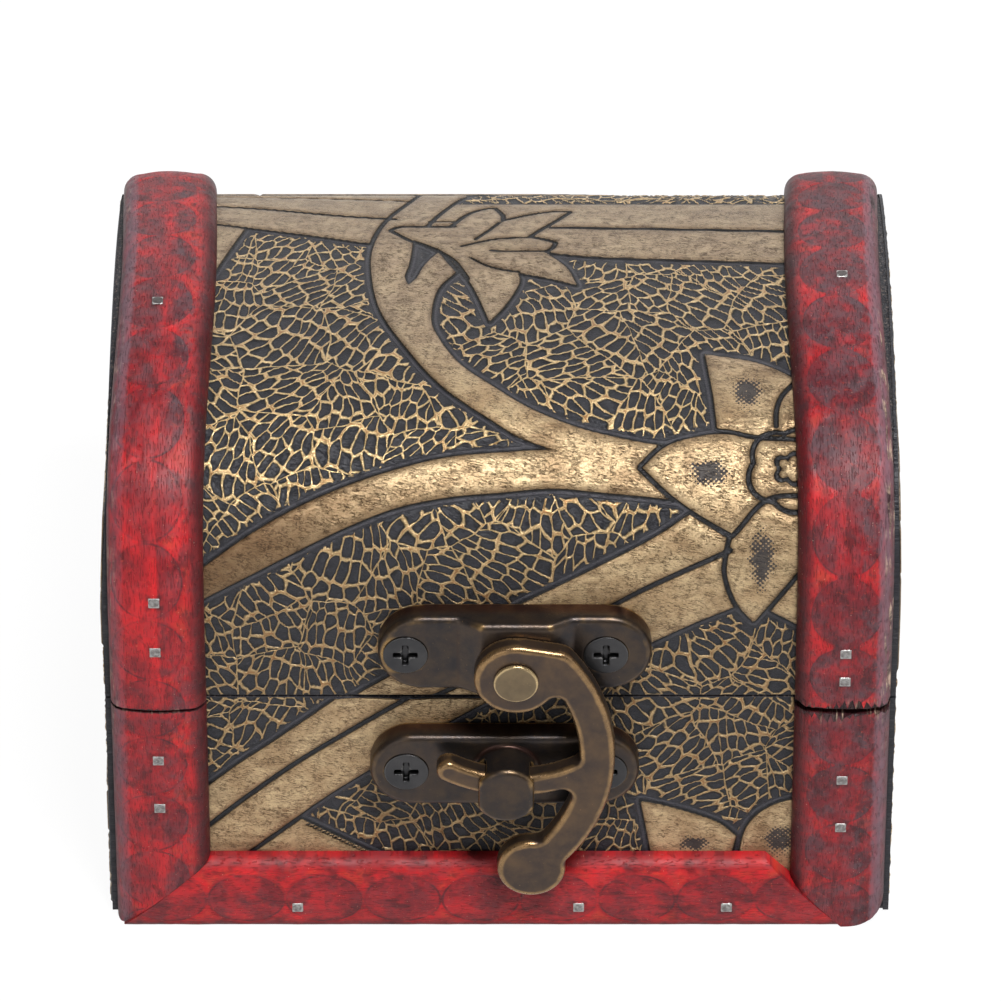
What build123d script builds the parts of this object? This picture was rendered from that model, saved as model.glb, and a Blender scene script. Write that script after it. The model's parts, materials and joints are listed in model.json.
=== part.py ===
from build123d import *
import math
import os

os.makedirs("parts", exist_ok=True)

# A small arched keepsake chest. X runs along its length, Y from front to back and Z up.
# The origin is the middle of its underside. Lengths are millimetres and angles are degrees.

# Carcass: a sawn-through wooden case
core_width = 76.7          # over the two end boards
core_depth = 57.6          # over the front and back boards
saw_height = 27.4          # the cut between box and lid
lid_wall_height = 10.2     # straight lid wall above the cut
shoulder_radius = 16.3     # bend from the lid's wall to its crown
shoulder_turn = 72.0       # how far the wall turns at that bend
wall_thickness = 3.0       # front and back boards and the bent lid sheet
end_thickness = 4.0
bottom_thickness = 3.0
rim_gap = 0.05             # between lid rim and box rim when shut
fit_gap = 0.02             # around nails, screws and pins that are driven in
overrun = 5.0              # how far a cutting shape passes the wood

# Covering: embossed leathercloth glued to the boards
cover_thickness = 0.8
saw_gap = 0.4              # the cut as it shows in covering and strips
foot_gap = 0.3             # covering trimmed short of the ground

# Strips: flat half-round wood along the end edges, and the rails between them
strip_width = 9.4
strip_thickness = 2.4
strip_crown = 0.3          # rise across the strip's face
strip_edge_share = 0.75    # rounded edge, as a share of the strip's thickness
rail_height = 7.9
rail_foot_radius = 0.2
mitre_gap = 0.06
left_mitre_toe = 0.6       # strip wood left under the front left mitre
right_mitre_toe = 4.3      # strip wood left under the front right mitre
right_mitre_short = 2.5    # the front rail's top stops this far from the right strip
right_strip_corner = 3.3   # worn outer corner at the front right foot
strip_corner = 0.8         # the other outer corners at the feet

# Brads: short square-cut nails set flush in the strips
brad_width = 1.1
brad_length = 5.0
brad_inset = 4.6           # from the strip's outer edge
brad_rail_height = 2.5
left_box_brad_shares = (0.555, 0.775)    # heights, as shares of the box's height to the cut
right_box_brad_shares = (0.465, 0.685)
left_lid_brad_shares = (0.72, 1.3)       # rise from the cut, as shares of the lid's straight wall
right_lid_brad_shares = (0.365, 0.7)
rail_brad_shares = (-0.7, 0.27, 0.78)    # places along the rail, as shares of half its length
left_crown_brad_angle = 84.0             # the brad over the top of the lid
right_crown_brad_angle = 88.0

# Hinges: two small butt hinges on the back
hinge_inset = 6.5          # from the strip to the leaf
leaf_width = 11.0
leaf_height = 7.0
leaf_thickness = 0.6
knuckle_radius = 1.4
knuckle_gap = 0.15
hinge_pin_radius = 0.6
hinge_pin_gap = 0.04
nail_head_radius = 0.85
nail_head_height = 0.35
nail_radius = 0.4
nail_length = 3.4
nail_edge = 2.2            # nail centre from the leaf's free corner, both ways
lid_opening = 100.0        # swing of the lid
lid_stop_gap = 4.0         # angle left between the strips' bevels at full swing

# Swing latch on the front
latch_sheet = 0.8
latch_length = 26.8
latch_height = 8.8
latch_lift = 2.5           # end pads above the covering
latch_offset = 1.4         # latch centre, right of the chest's centre
latch_rise = 7.2           # latch centre above the cut
saddle_lift = 3.7          # raised middle above the covering
saddle_width = 6.9
saddle_slope = 2.2
saddle_bend = 0.9          # bend where the saddle rises
latch_edge = 0.7
keeper_length = 26.6
keeper_height = 8.6
keeper_offset = 0.4
tower_offset = 0.55        # keeper tower, right of the chest's centre
tower_lift = 6.6           # tower face above the covering
tower_radius = 3.2
tower_flats = 5.5          # across its flattened sides
tower_drop = 0.5           # tower centre below the middle of the spur
tower_edge = 0.6
flare_radius = 4.0
flare_height = 0.9
screw_spacing = 19.6
screw_offset = 0.5         # middle of the screws, right of the chest's centre
screw_head_radius = 2.25
screw_head_height = 1.2
screw_radius = 1.0
screw_length = 5.4
screw_proud = 0.1
recess_length = 2.4
recess_width = 0.6
recess_depth = 0.7
seat_gap = 0.05            # around a screw or rivet in its plate

# Hook: pivots on a rivet in the saddle; x and z offsets are from the rivet
rivet_offset = 1.5         # rivet, right of the chest's centre
rivet_drop = 0.9           # rivet below the latch centre
rivet_radius = 1.5
rivet_head_radius = 2.2
rivet_head_height = 0.4
rivet_tail_radius = 2.1
rivet_tail_height = 0.5
hook_thickness = 1.9
hook_float = 0.06          # play on each face of the hook and around its rivet
hook_boss_radius = 4.1
arm_radius = 18.4          # bow of the arm, along its middle
arm_width = 3.5
arm_centre_x = -10.4
arm_centre_z = -9.7
arm_top_angle = 38.0
arm_tab_angle = -49.5
tab_radius = 3.4
spur_radius = 13.2         # arc of the spur about the rivet, along its middle
spur_height = 2.4
spur_tip_angle = -120.0
spur_root_angle = -58.0
hook_web_radius = 0.9      # rounding where boss, spur and tab meet the arm
hook_edge = 0.55
slot_gap = 0.3             # around the spur in the keeper tower

# Worked-out places
half_width = core_width / 2
half_depth = core_depth / 2
spring_height = saw_height + lid_wall_height
shoulder_sine = math.sin(math.radians(shoulder_turn))
shoulder_cosine = math.cos(math.radians(shoulder_turn))
crown_radius = shoulder_radius + (half_depth - shoulder_radius) / shoulder_cosine
crown_centre_height = spring_height - (crown_radius - shoulder_radius) * shoulder_sine
cover_face = half_depth + cover_thickness
strip_face = cover_face + strip_thickness
strip_inner = half_width - strip_width
strip_edge = strip_edge_share * strip_thickness
box_rim = saw_height - saw_gap / 2
lid_rim = saw_height + saw_gap / 2
bevel_angle = (lid_opening + lid_stop_gap) / 2

# A turned piece stands on its plane or hangs below it
standing = (Align.CENTER, Align.CENTER, Align.MIN)
hanging = (Align.CENTER, Align.CENTER, Align.MAX)



def front_place(x, z, lift=0):
    """A plane that looks forward, so far in front of the covering."""
    return Plane(origin=(x, -cover_face - lift, z), x_dir=(1, 0, 0), z_dir=(0, -1, 0))


def back_place(x, z, lift=0):
    """A plane that looks backward, so far behind the covering."""
    return Plane(origin=(x, cover_face + lift, z), x_dir=(-1, 0, 0), z_dir=(0, 1, 0))


def finish(piece, name):
    """Label a finished piece and write it to its own file."""
    piece.label = name
    export_step(piece, f"parts/{name}.step")


def arch_point(turn, grow):
    """Depth and height of the arch where its outward normal has turned so far from the front."""
    angle = math.radians(turn)
    if turn <= shoulder_turn:
        radius, y, z = shoulder_radius + grow, shoulder_radius - half_depth, spring_height
    else:
        radius, y, z = crown_radius + grow, 0, crown_centre_height
    return (y - radius * math.cos(angle), z + radius * math.sin(angle))


def trace_arch(grow, low):
    """Draw the end view's outline, grown outward from the boards, from the front over to the back."""
    foot = (-half_depth - grow, low)
    spring = arch_point(0, grow)
    shoulder_middle = arch_point(shoulder_turn / 2, grow)
    shoulder_top = arch_point(shoulder_turn, grow)
    crown_top = (0, crown_centre_height + crown_radius + grow)
    mirrored = [(-y, z) for y, z in (foot, spring, shoulder_middle, shoulder_top)]
    Line(foot, spring)
    ThreePointArc(spring, shoulder_middle, shoulder_top)
    ThreePointArc(shoulder_top, crown_top, mirrored[3])
    ThreePointArc(mirrored[3], mirrored[2], mirrored[1])
    Line(mirrored[1], mirrored[0])


def draw_arch(grow, low, mode=Mode.ADD):
    """Fill the end view's outline inside the open sketch."""
    with BuildLine() as outline:
        trace_arch(grow, low)
        Line((half_depth + grow, low), (-half_depth - grow, low))
    make_face(outline.edges(), mode=mode)


def draw_moulding(width, left_radius, right_radius):
    """Draw a strip's section in the open sketch: base on the X axis, rounded edges and a low crown."""
    side = strip_thickness - strip_crown
    slant = math.sqrt(1 / 2)
    left, right = -width / 2, width / 2
    crown_x = (left_radius - right_radius) / 2
    with BuildLine() as outline:
        Line((left, 0), (left, side - left_radius))
        ThreePointArc(
            (left, side - left_radius),
            (left + left_radius * (1 - slant), side - left_radius * (1 - slant)),
            (left + left_radius, side),
        )
        ThreePointArc((left + left_radius, side), (crown_x, strip_thickness), (right - right_radius, side))
        ThreePointArc(
            (right - right_radius, side),
            (right - right_radius * (1 - slant), side - right_radius * (1 - slant)),
            (right, side - right_radius),
        )
        Line((right, side - right_radius), (right, 0))
        Line((right, 0), (left, 0))
    make_face(outline.edges())


# Where the brads go: planes on the strips' faces, looking outward
strip_middle = half_width - brad_inset


def brad_plane(x, y, z, facing, turn=0):
    """A plane on a strip's face: facing is -1 at the front and 1 at the back, turn tips it upward."""
    angle = math.radians(turn)
    return Plane(origin=(x, y, z), x_dir=(1, 0, 0), z_dir=(0, facing * math.cos(angle), math.sin(angle)))


def lid_brad_plane(side, rise, facing):
    """A plane on a lid strip, so far up its face from the cut."""
    face_radius = shoulder_radius + cover_thickness + strip_thickness
    turn = math.degrees(max(rise - lid_wall_height, 0) / face_radius)
    y, z = arch_point(turn, cover_thickness + strip_thickness)
    height = z - max(lid_wall_height - rise, 0)
    return brad_plane(side * strip_middle, -facing * y, height, facing, turn)


box_brads = []
lid_brads = []
for facing in (-1, 1):
    for side, box_shares, lid_shares in (
        (-1, left_box_brad_shares, left_lid_brad_shares),
        (1, right_box_brad_shares, right_lid_brad_shares),
    ):
        for share in box_shares:
            box_brads.append(brad_plane(side * strip_middle, facing * strip_face, share * saw_height, facing))
        for share in lid_shares:
            lid_brads.append(lid_brad_plane(side, share * lid_wall_height, facing))
    for share in rail_brad_shares:
        box_brads.append(brad_plane(share * strip_inner, facing * strip_face, brad_rail_height, facing))
for side, angle in ((-1, left_crown_brad_angle), (1, right_crown_brad_angle)):
    crown_brad_y, crown_brad_z = arch_point(angle, cover_thickness + strip_thickness)
    lid_brads.append(brad_plane(side * strip_middle, crown_brad_y, crown_brad_z, -1, angle))


def cut_brad_holes(planes):
    """Cut a snug square hole for each brad in the open part."""
    hole = brad_width + 2 * fit_gap
    with Locations(*planes):
        Box(hole, hole, 2 * (brad_length + fit_gap), mode=Mode.SUBTRACT)


# Where the latch screws go: planes on the plates' end pads
latch_centre = saw_height + latch_rise
rivet_height = latch_centre - rivet_drop
tower_height = rivet_height - spur_radius - tower_drop


def screw_planes(height):
    """The two screw seats of a latch plate."""
    return [front_place(screw_offset + side * screw_spacing / 2, height, latch_lift) for side in (-1, 1)]


latch_seats = screw_planes(latch_centre)
keeper_seats = screw_planes(tower_height)


def cut_screw_holes(seats):
    """Cut the holes of driven screws in the open part."""
    with Locations(*seats):
        Cylinder(screw_radius + fit_gap, 2 * (screw_length + fit_gap), mode=Mode.SUBTRACT)


# Where the hinges and their nails go
hinge_centre = strip_inner - hinge_inset - leaf_width / 2


def nail_planes(centre, rising):
    """The two nail seats of a hinge leaf: rising is 1 on the lid and -1 on the box."""
    height = saw_height + rising * (leaf_height - nail_edge)
    reach = leaf_width / 2 - nail_edge
    return [back_place(centre + x, height, leaf_thickness) for x in (-reach, reach)]


box_nails = nail_planes(-hinge_centre, -1) + nail_planes(hinge_centre, -1)
lid_nails = nail_planes(-hinge_centre, 1) + nail_planes(hinge_centre, 1)


def cut_nail_holes(seats):
    """Cut the holes of the hinge nails in the open part."""
    with Locations(*seats):
        Cylinder(nail_radius + fit_gap, 2 * (nail_length + fit_gap), mode=Mode.SUBTRACT)


# Box boards
board_height = saw_height - bottom_thickness

with BuildPart() as base_bottom:
    with BuildSketch(Plane.XY):
        Rectangle(core_width, core_depth)
    extrude(amount=bottom_thickness)
    cut_brad_holes(box_brads)
finish(base_bottom.part, "base_bottom")

with BuildPart() as base_front_board:
    with BuildSketch(Plane.XY.offset(bottom_thickness)):
        with Locations((0, (wall_thickness - core_depth) / 2)):
            Rectangle(core_width, wall_thickness)
    extrude(amount=board_height)
    cut_brad_holes(box_brads)
    cut_screw_holes(keeper_seats)
finish(base_front_board.part, "base_front_board")

with BuildPart() as base_back_board:
    with BuildSketch(Plane.XY.offset(bottom_thickness)):
        with Locations((0, (core_depth - wall_thickness) / 2)):
            Rectangle(core_width, wall_thickness)
    extrude(amount=board_height)
    cut_brad_holes(box_brads)
    cut_nail_holes(box_nails)
finish(base_back_board.part, "base_back_board")

for side, name in ((-1, "base_left_end"), (1, "base_right_end")):
    with BuildPart() as base_end:
        with BuildSketch(Plane.XY.offset(bottom_thickness)):
            with Locations((side * (core_width - end_thickness) / 2, 0)):
                Rectangle(end_thickness, core_depth - 2 * wall_thickness)
        extrude(amount=board_height)
    finish(base_end.part, name)

# Lid: a bent sheet over two arched end boards
with BuildPart() as lid_shell:
    with BuildSketch(Plane.YZ):
        draw_arch(0, saw_height + rim_gap)
        draw_arch(-wall_thickness, saw_height - overrun, Mode.SUBTRACT)
    extrude(amount=half_width, both=True)
    cut_brad_holes(lid_brads)
    cut_screw_holes(latch_seats)
    cut_nail_holes(lid_nails)
finish(lid_shell.part, "lid_shell")

for side, name in ((-1, "lid_left_end"), (1, "lid_right_end")):
    with BuildPart() as lid_end:
        with BuildSketch(Plane.YZ.offset(side * (core_width - end_thickness) / 2)):
            draw_arch(-wall_thickness, saw_height + rim_gap)
        extrude(amount=end_thickness / 2, both=True)
    finish(lid_end.part, name)

# Coverings: the box's four faces, then the lid's wrap and two ends
for facing, name in ((-1, "base_front_cover"), (1, "base_back_cover")):
    with BuildPart() as face_cover:
        with BuildSketch(Plane.XY.offset(foot_gap)):
            with Locations((0, facing * (half_depth + cover_thickness / 2))):
                Rectangle(core_width, cover_thickness)
        extrude(amount=box_rim - foot_gap)
        cut_brad_holes(box_brads)
        if facing < 0:
            cut_screw_holes(keeper_seats)
        else:
            cut_nail_holes(box_nails)
    finish(face_cover.part, name)

for side, name in ((-1, "base_left_cover"), (1, "base_right_cover")):
    with BuildPart() as end_cover:
        with BuildSketch(Plane.XY.offset(foot_gap)):
            with Locations((side * (half_width + cover_thickness / 2), 0)):
                Rectangle(cover_thickness, 2 * cover_face)
        extrude(amount=box_rim - foot_gap)
    finish(end_cover.part, name)

with BuildPart() as lid_wrap_cover:
    with BuildSketch(Plane.YZ):
        draw_arch(cover_thickness, lid_rim)
        draw_arch(0, lid_rim - overrun, Mode.SUBTRACT)
    extrude(amount=half_width, both=True)
    cut_brad_holes(lid_brads)
    cut_screw_holes(latch_seats)
    cut_nail_holes(lid_nails)
finish(lid_wrap_cover.part, "lid_wrap_cover")

for side, name in ((-1, "lid_left_cover"), (1, "lid_right_cover")):
    with BuildPart() as end_cover:
        with BuildSketch(Plane.YZ.offset(side * (half_width + cover_thickness / 2))):
            draw_arch(cover_thickness, lid_rim)
        extrude(amount=cover_thickness / 2, both=True)
    finish(end_cover.part, name)

# Swing relief: the back strips are bevelled at the cut, away from the hinge line
bevel_reach = overrun + strip_thickness


def cut_swing_bevel():
    """Cut the wedge that the opening lid needs out of the open part."""
    rise = bevel_reach * math.tan(math.radians(bevel_angle))
    far = cover_face + knuckle_radius + bevel_reach
    with BuildSketch(Plane.YZ) as wedge:
        with BuildLine():
            Polyline(
                (far - bevel_reach, saw_height),
                (far, saw_height + rise),
                (far, saw_height - rise),
                close=True,
            )
        make_face()
    extrude(wedge.sketch, amount=half_width + overrun, both=True, mode=Mode.SUBTRACT)


# Strips over the lid: the moulding swept along the arch
for side, name in ((-1, "lid_left_strip"), (1, "lid_right_strip")):
    strip_x = side * (half_width - strip_width / 2)
    foot_plane = Plane(origin=(strip_x, -cover_face, lid_rim), x_dir=(-1, 0, 0), z_dir=(0, 0, 1))
    with BuildPart() as lid_strip:
        with BuildLine(Plane.YZ.offset(strip_x)) as bend:
            trace_arch(cover_thickness, lid_rim)
        with BuildSketch(foot_plane):
            draw_moulding(strip_width, strip_edge, strip_edge)
        sweep(path=bend.wires()[0])
        cut_brad_holes(lid_brads)
        cut_swing_bevel()
    finish(lid_strip.part, name)


# Box strips and rails: straight moulding, mitred in the front view
def upright_strip(facing, side, outline, corner_radius):
    """A box strip: facing -1 front or 1 back, side -1 left or 1 right, cut to a front-view outline."""
    origin = (side * (half_width - strip_width / 2), facing * cover_face, 0)
    with BuildPart() as strip:
        with BuildSketch(Plane(origin=origin, x_dir=(facing, 0, 0), z_dir=(0, 0, 1))):
            draw_moulding(strip_width, strip_edge, strip_edge)
        extrude(amount=box_rim)
        with BuildSketch(Plane.XZ) as front_view:
            with BuildLine():
                Polyline(*outline, close=True)
            make_face()
            foot = front_view.vertices().sort_by_distance((side * half_width, 0))[0]
            fillet(foot, radius=corner_radius)
        extrude(amount=strip_face + overrun, both=True, mode=Mode.INTERSECT)
        cut_brad_holes(box_brads)
        if facing > 0:
            cut_swing_bevel()
    return strip.part


def long_rail(facing, outline):
    """A bottom rail cut to a front-view outline."""
    origin = (0, facing * cover_face, rail_height / 2)
    with BuildPart() as rail:
        with BuildSketch(Plane(origin=origin, x_dir=(0, 0, 1), z_dir=(-facing, 0, 0))):
            draw_moulding(rail_height, rail_foot_radius, strip_edge)
        extrude(amount=half_width, both=True)
        with BuildSketch(Plane.XZ):
            with BuildLine():
                Polyline(*outline, close=True)
            make_face()
        extrude(amount=strip_face + overrun, both=True, mode=Mode.INTERSECT)
        cut_brad_holes(box_brads)
    return rail.part


corner_toe = half_width - left_mitre_toe
right_toe = half_width - right_mitre_toe
right_heel = strip_inner - right_mitre_short
right_cross = rail_height * (right_toe - strip_inner) / (right_toe - right_heel)


def corner_outline(side):
    """Front view of a strip whose mitre runs to the chest's corner."""
    return [
        (side * half_width, box_rim),
        (side * strip_inner, box_rim),
        (side * strip_inner, rail_height),
        (side * corner_toe, 0),
        (side * half_width, 0),
    ]


worn_outline = [
    (half_width, box_rim),
    (strip_inner, box_rim),
    (strip_inner, right_cross),
    (right_toe, 0),
    (half_width, 0),
]
finish(upright_strip(-1, -1, corner_outline(-1), strip_corner / 2), "base_front_left_strip")
finish(upright_strip(-1, 1, worn_outline, right_strip_corner), "base_front_right_strip")
finish(upright_strip(1, -1, corner_outline(-1), strip_corner / 2), "base_back_left_strip")
finish(upright_strip(1, 1, corner_outline(1), strip_corner / 2), "base_back_right_strip")

left_rail_end = [(-corner_toe + mitre_gap, 0), (-strip_inner + mitre_gap, rail_height)]
front_rail_outline = left_rail_end + [(right_heel - mitre_gap, rail_height), (right_toe - mitre_gap, 0)]
back_rail_outline = left_rail_end + [(-x, z) for x, z in reversed(left_rail_end)]
finish(long_rail(-1, front_rail_outline), "base_front_rail")
finish(long_rail(1, back_rail_outline), "base_back_rail")

# Brads
for planes, name in ((box_brads, "base_brads"), (lid_brads, "lid_brads")):
    with BuildPart() as brads:
        with Locations(*planes):
            Box(brad_width, brad_width, brad_length, align=hanging)
    finish(brads.part, name)

# Hinges: knuckles thirds of the leaf, the box leaf holds the outer two
knuckle_length = leaf_width / 3


def hinge_leaf(centre, rising):
    """A leaf rolled round the pin: rising is 1 for the lid's leaf and -1 for the box's."""
    seats = nail_planes(centre, rising)
    pivot = (cover_face + knuckle_radius, saw_height)
    room = 2 * (knuckle_radius + knuckle_gap)
    with BuildPart() as leaf:
        with BuildSketch(Plane.YZ.offset(centre)):
            with Locations((cover_face + leaf_thickness / 2, saw_height + rising * leaf_height / 2)):
                Rectangle(leaf_thickness, leaf_height)
            with Locations(pivot):
                Circle(knuckle_radius)
        extrude(amount=leaf_width / 2, both=True)
        if rising > 0:
            shift = knuckle_length + overrun / 2
            spans = [(-shift, knuckle_length + overrun), (shift, knuckle_length + overrun)]
        else:
            spans = [(0, knuckle_length)]
        for x, length in spans:
            with Locations((centre + x, pivot[0], pivot[1])):
                Box(length + knuckle_gap, room, room, mode=Mode.SUBTRACT)
        with BuildSketch(Plane.YZ.offset(centre)):
            with Locations(pivot):
                Circle(hinge_pin_radius + hinge_pin_gap)
        extrude(amount=leaf_width, both=True, mode=Mode.SUBTRACT)
        cut_nail_holes(seats)
    return leaf.part


for centre, place in ((-hinge_centre, "left"), (hinge_centre, "right")):
    finish(hinge_leaf(centre, -1), f"{place}_hinge_box_leaf")
    finish(hinge_leaf(centre, 1), f"{place}_hinge_lid_leaf")
    with BuildPart() as hinge_pin:
        with BuildSketch(Plane.YZ.offset(centre)):
            with Locations((cover_face + knuckle_radius, saw_height)):
                Circle(hinge_pin_radius)
        extrude(amount=leaf_width / 2, both=True)
    finish(hinge_pin.part, f"{place}_hinge_pin")

for seats, name in ((box_nails, "hinge_box_nails"), (lid_nails, "hinge_lid_nails")):
    with BuildPart() as nails:
        with Locations(*seats):
            Cylinder(nail_head_radius, nail_head_height, align=standing)
            Cylinder(nail_radius, nail_length, align=hanging)
    finish(nails.part, name)


# Latch plates: pressed sheet with a skirt all round that stands on the covering
def pressed_body(length, height, centre, inset, raised):
    """The filled shape of a plate, every outside face moved in by inset, centre as (x, z)."""
    low = latch_lift - inset
    reach = length / 2 - inset
    rise = []
    if raised:
        high = saddle_lift - inset
        near, far = saddle_width / 2, saddle_width / 2 + saddle_slope
        top = rivet_offset - centre[0]
        rise = [(top - far, low), (top - near, high), (top + near, high), (top + far, low)]
    side_plane = Plane(origin=(centre[0], -cover_face, centre[1]), x_dir=(1, 0, 0), z_dir=(0, 0, -1))
    with BuildPart() as body:
        with BuildSketch(side_plane) as side_view:
            with BuildLine():
                Polyline((-reach, 0), (-reach, low), *rise, (reach, low), (reach, 0), close=True)
            make_face()
            for bend in rise:
                fillet(side_view.vertices().sort_by_distance(bend)[0], radius=saddle_bend)
        extrude(amount=height / 2 - inset, both=True)
        with BuildSketch(front_place(*centre)):
            SlotOverall(2 * reach, height - 2 * inset)
        extrude(amount=saddle_lift + overrun, mode=Mode.INTERSECT)
    return body.part


def rim_edges(body):
    """The edges round a plate's front, without the lines where its saddle bends."""
    highest = -cover_face - latch_lift + latch_sheet / 2
    rim = body.edges().filter_by(lambda edge: edge.center().Y < highest)
    return rim.filter_by(Axis.Z, reverse=True)


def cut_screw_seats(seats):
    """Cut countersunk holes with a little room round the screws in the open part."""
    with Locations(*[seat.offset(screw_proud) for seat in seats]):
        Cone(
            screw_radius + seat_gap,
            screw_head_radius + seat_gap,
            screw_head_height,
            align=hanging,
            mode=Mode.SUBTRACT,
        )
        Cylinder(screw_radius + seat_gap, 2 * screw_length, mode=Mode.SUBTRACT)


rivet_plane = front_place(rivet_offset, rivet_height)
latch_centre_place = (latch_offset, latch_centre)
latch_outer = pressed_body(latch_length, latch_height, latch_centre_place, 0, True)
latch_inner = pressed_body(latch_length, latch_height, latch_centre_place, latch_sheet, True)

with BuildPart() as latch_plate:
    add(latch_outer)
    fillet(rim_edges(latch_plate), radius=latch_edge)
    add(latch_inner, mode=Mode.SUBTRACT)
    cut_screw_seats(latch_seats)
    with Locations(rivet_plane):
        Cylinder(rivet_radius + fit_gap, 2 * (saddle_lift + overrun), mode=Mode.SUBTRACT)
finish(latch_plate.part, "latch_plate")

# Keeper: the lower plate, its middle drawn up into a hollow tower with a slot through both sides
keeper_centre_place = (keeper_offset, tower_height)
keeper_outer = pressed_body(keeper_length, keeper_height, keeper_centre_place, 0, False)
keeper_inner = pressed_body(keeper_length, keeper_height, keeper_centre_place, latch_sheet, False)
tower_foot = latch_lift - latch_sheet
tower_plane = front_place(tower_offset, tower_height, tower_foot)
hook_back = saddle_lift + hook_float
slot_low = hook_back - slot_gap
slot_high = hook_back + hook_thickness + slot_gap


def tower_post(inset):
    """The tower: a flare on the plate and a post with two flat sides, moved in by inset."""
    with BuildPart() as post:
        with Locations(tower_plane):
            Cylinder(tower_radius - inset, tower_lift - tower_foot - inset, align=standing)
            Box(tower_flats - 2 * inset, 2 * tower_radius, 2 * tower_lift, mode=Mode.INTERSECT)
            Cone(
                flare_radius - inset,
                tower_flats / 2 - inset,
                flare_height + latch_sheet,
                align=standing,
            )
    return post.part


tower_outer = tower_post(0)
tower_inner = tower_post(latch_sheet)

with BuildPart() as keeper_plate:
    add(keeper_outer)
    fillet(rim_edges(keeper_plate), radius=latch_edge)
    add(keeper_inner, mode=Mode.SUBTRACT)
    add(tower_outer)
    front_face = keeper_plate.faces().sort_by(Axis.Y)[0]
    fillet(front_face.edges(), radius=tower_edge)
    add(tower_inner, mode=Mode.SUBTRACT)
    cut_screw_seats(keeper_seats)
    with BuildSketch(rivet_plane.offset(slot_low)):
        Circle(spur_radius + spur_height / 2 + slot_gap)
        Circle(spur_radius - spur_height / 2 - slot_gap, mode=Mode.SUBTRACT)
    extrude(amount=slot_high - slot_low, mode=Mode.SUBTRACT)
finish(keeper_plate.part, "keeper_plate")

# Latch screws: countersunk heads with a cross recess
for seats, name in ((latch_seats, "latch_screws"), (keeper_seats, "keeper_screws")):
    with BuildPart() as screws:
        with Locations(*[seat.offset(screw_proud) for seat in seats]):
            Cone(screw_radius, screw_head_radius, screw_head_height, align=hanging)
            Cylinder(screw_radius, screw_length, align=hanging)
            Box(recess_length, recess_width, 2 * recess_depth, mode=Mode.SUBTRACT)
            Box(recess_width, recess_length, 2 * recess_depth, mode=Mode.SUBTRACT)
    finish(screws.part, name)

# Hook: a bowed arm from the boss to the thumb tab, with a spur that turns about the rivet
arm_sweep = arm_tab_angle - arm_top_angle
spur_sweep = spur_root_angle - spur_tip_angle
arm_bow = CenterArc((arm_centre_x, arm_centre_z), arm_radius, arm_top_angle, arm_sweep)
spur_bow = CenterArc((0, 0), spur_radius, spur_tip_angle, spur_sweep)
hook_plane = rivet_plane.offset(hook_back)

with BuildPart() as latch_hook:
    with BuildSketch(hook_plane):
        with Locations(arm_bow @ 0):
            Circle(arm_width / 2)
        Circle(hook_boss_radius)
        make_hull()
        SlotArc(arm_bow, arm_width)
        SlotArc(spur_bow, spur_height)
        with Locations(arm_bow @ 1):
            Circle(tab_radius)
        offset(amount=hook_web_radius)
        offset(amount=-hook_web_radius)
    extrude(amount=hook_thickness)
    front_face = latch_hook.faces().sort_by(Axis.Y)[0]
    fillet(front_face.edges(), radius=hook_edge)
    with Locations(rivet_plane):
        Cylinder(rivet_radius + hook_float, 2 * (tower_lift + overrun), mode=Mode.SUBTRACT)
finish(latch_hook.part, "latch_hook")

# Rivet: through the saddle and the hook, its tail spread under the saddle
tail_top = saddle_lift - latch_sheet
head_seat = hook_back + hook_thickness + hook_float

with BuildPart() as latch_rivet:
    with Locations(rivet_plane.offset(tail_top - seat_gap)):
        Cylinder(rivet_tail_radius, rivet_tail_height, align=hanging)
        Cylinder(rivet_radius, head_seat - tail_top + seat_gap, align=standing)
    with Locations(rivet_plane.offset(head_seat)):
        Cylinder(rivet_head_radius, rivet_head_height, align=standing)
    fillet(latch_rivet.faces().sort_by(Axis.Y)[0].edges(), radius=rivet_head_height / 2)
finish(latch_rivet.part, "latch_rivet")
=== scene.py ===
"""A small arched keepsake chest: embossed covering, red strips and a bronze swing latch.

Sheet places and sizes are millimetres. MM turns them into the scene's metres.
"""
import json
import logging
import math
from dataclasses import dataclass, field
from enum import Enum
from typing import Callable

import bmesh
import bpy
import numpy as np
from mathutils import Matrix, Vector

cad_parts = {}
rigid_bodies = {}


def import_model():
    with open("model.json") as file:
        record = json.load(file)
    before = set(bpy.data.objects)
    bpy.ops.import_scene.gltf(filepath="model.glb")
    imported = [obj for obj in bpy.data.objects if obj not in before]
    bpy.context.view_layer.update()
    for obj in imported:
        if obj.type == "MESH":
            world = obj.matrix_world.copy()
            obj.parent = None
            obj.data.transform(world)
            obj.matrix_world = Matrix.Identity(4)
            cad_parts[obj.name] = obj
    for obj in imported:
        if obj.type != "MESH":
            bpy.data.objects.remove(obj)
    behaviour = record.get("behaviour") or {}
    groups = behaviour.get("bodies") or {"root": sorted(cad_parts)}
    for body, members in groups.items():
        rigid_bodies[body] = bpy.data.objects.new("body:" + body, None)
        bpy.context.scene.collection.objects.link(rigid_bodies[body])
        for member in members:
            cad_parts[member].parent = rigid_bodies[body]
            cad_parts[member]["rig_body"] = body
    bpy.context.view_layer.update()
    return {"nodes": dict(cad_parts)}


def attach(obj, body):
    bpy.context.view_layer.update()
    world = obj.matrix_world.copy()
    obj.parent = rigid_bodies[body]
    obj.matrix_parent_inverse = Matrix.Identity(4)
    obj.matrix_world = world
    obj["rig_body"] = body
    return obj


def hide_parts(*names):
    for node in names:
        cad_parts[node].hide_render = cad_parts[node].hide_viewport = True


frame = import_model()

log = logging.getLogger("chest")

MM = 0.001
FAR = 9.0  # a distance, in mm, that counts as far away on the sheet
NEAR = 3.0  # distances from a line on the sheet are measured up to this, in mm
CURVE_STEP = 0.5  # spacing of the points along a drawn curve, in mm

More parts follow.
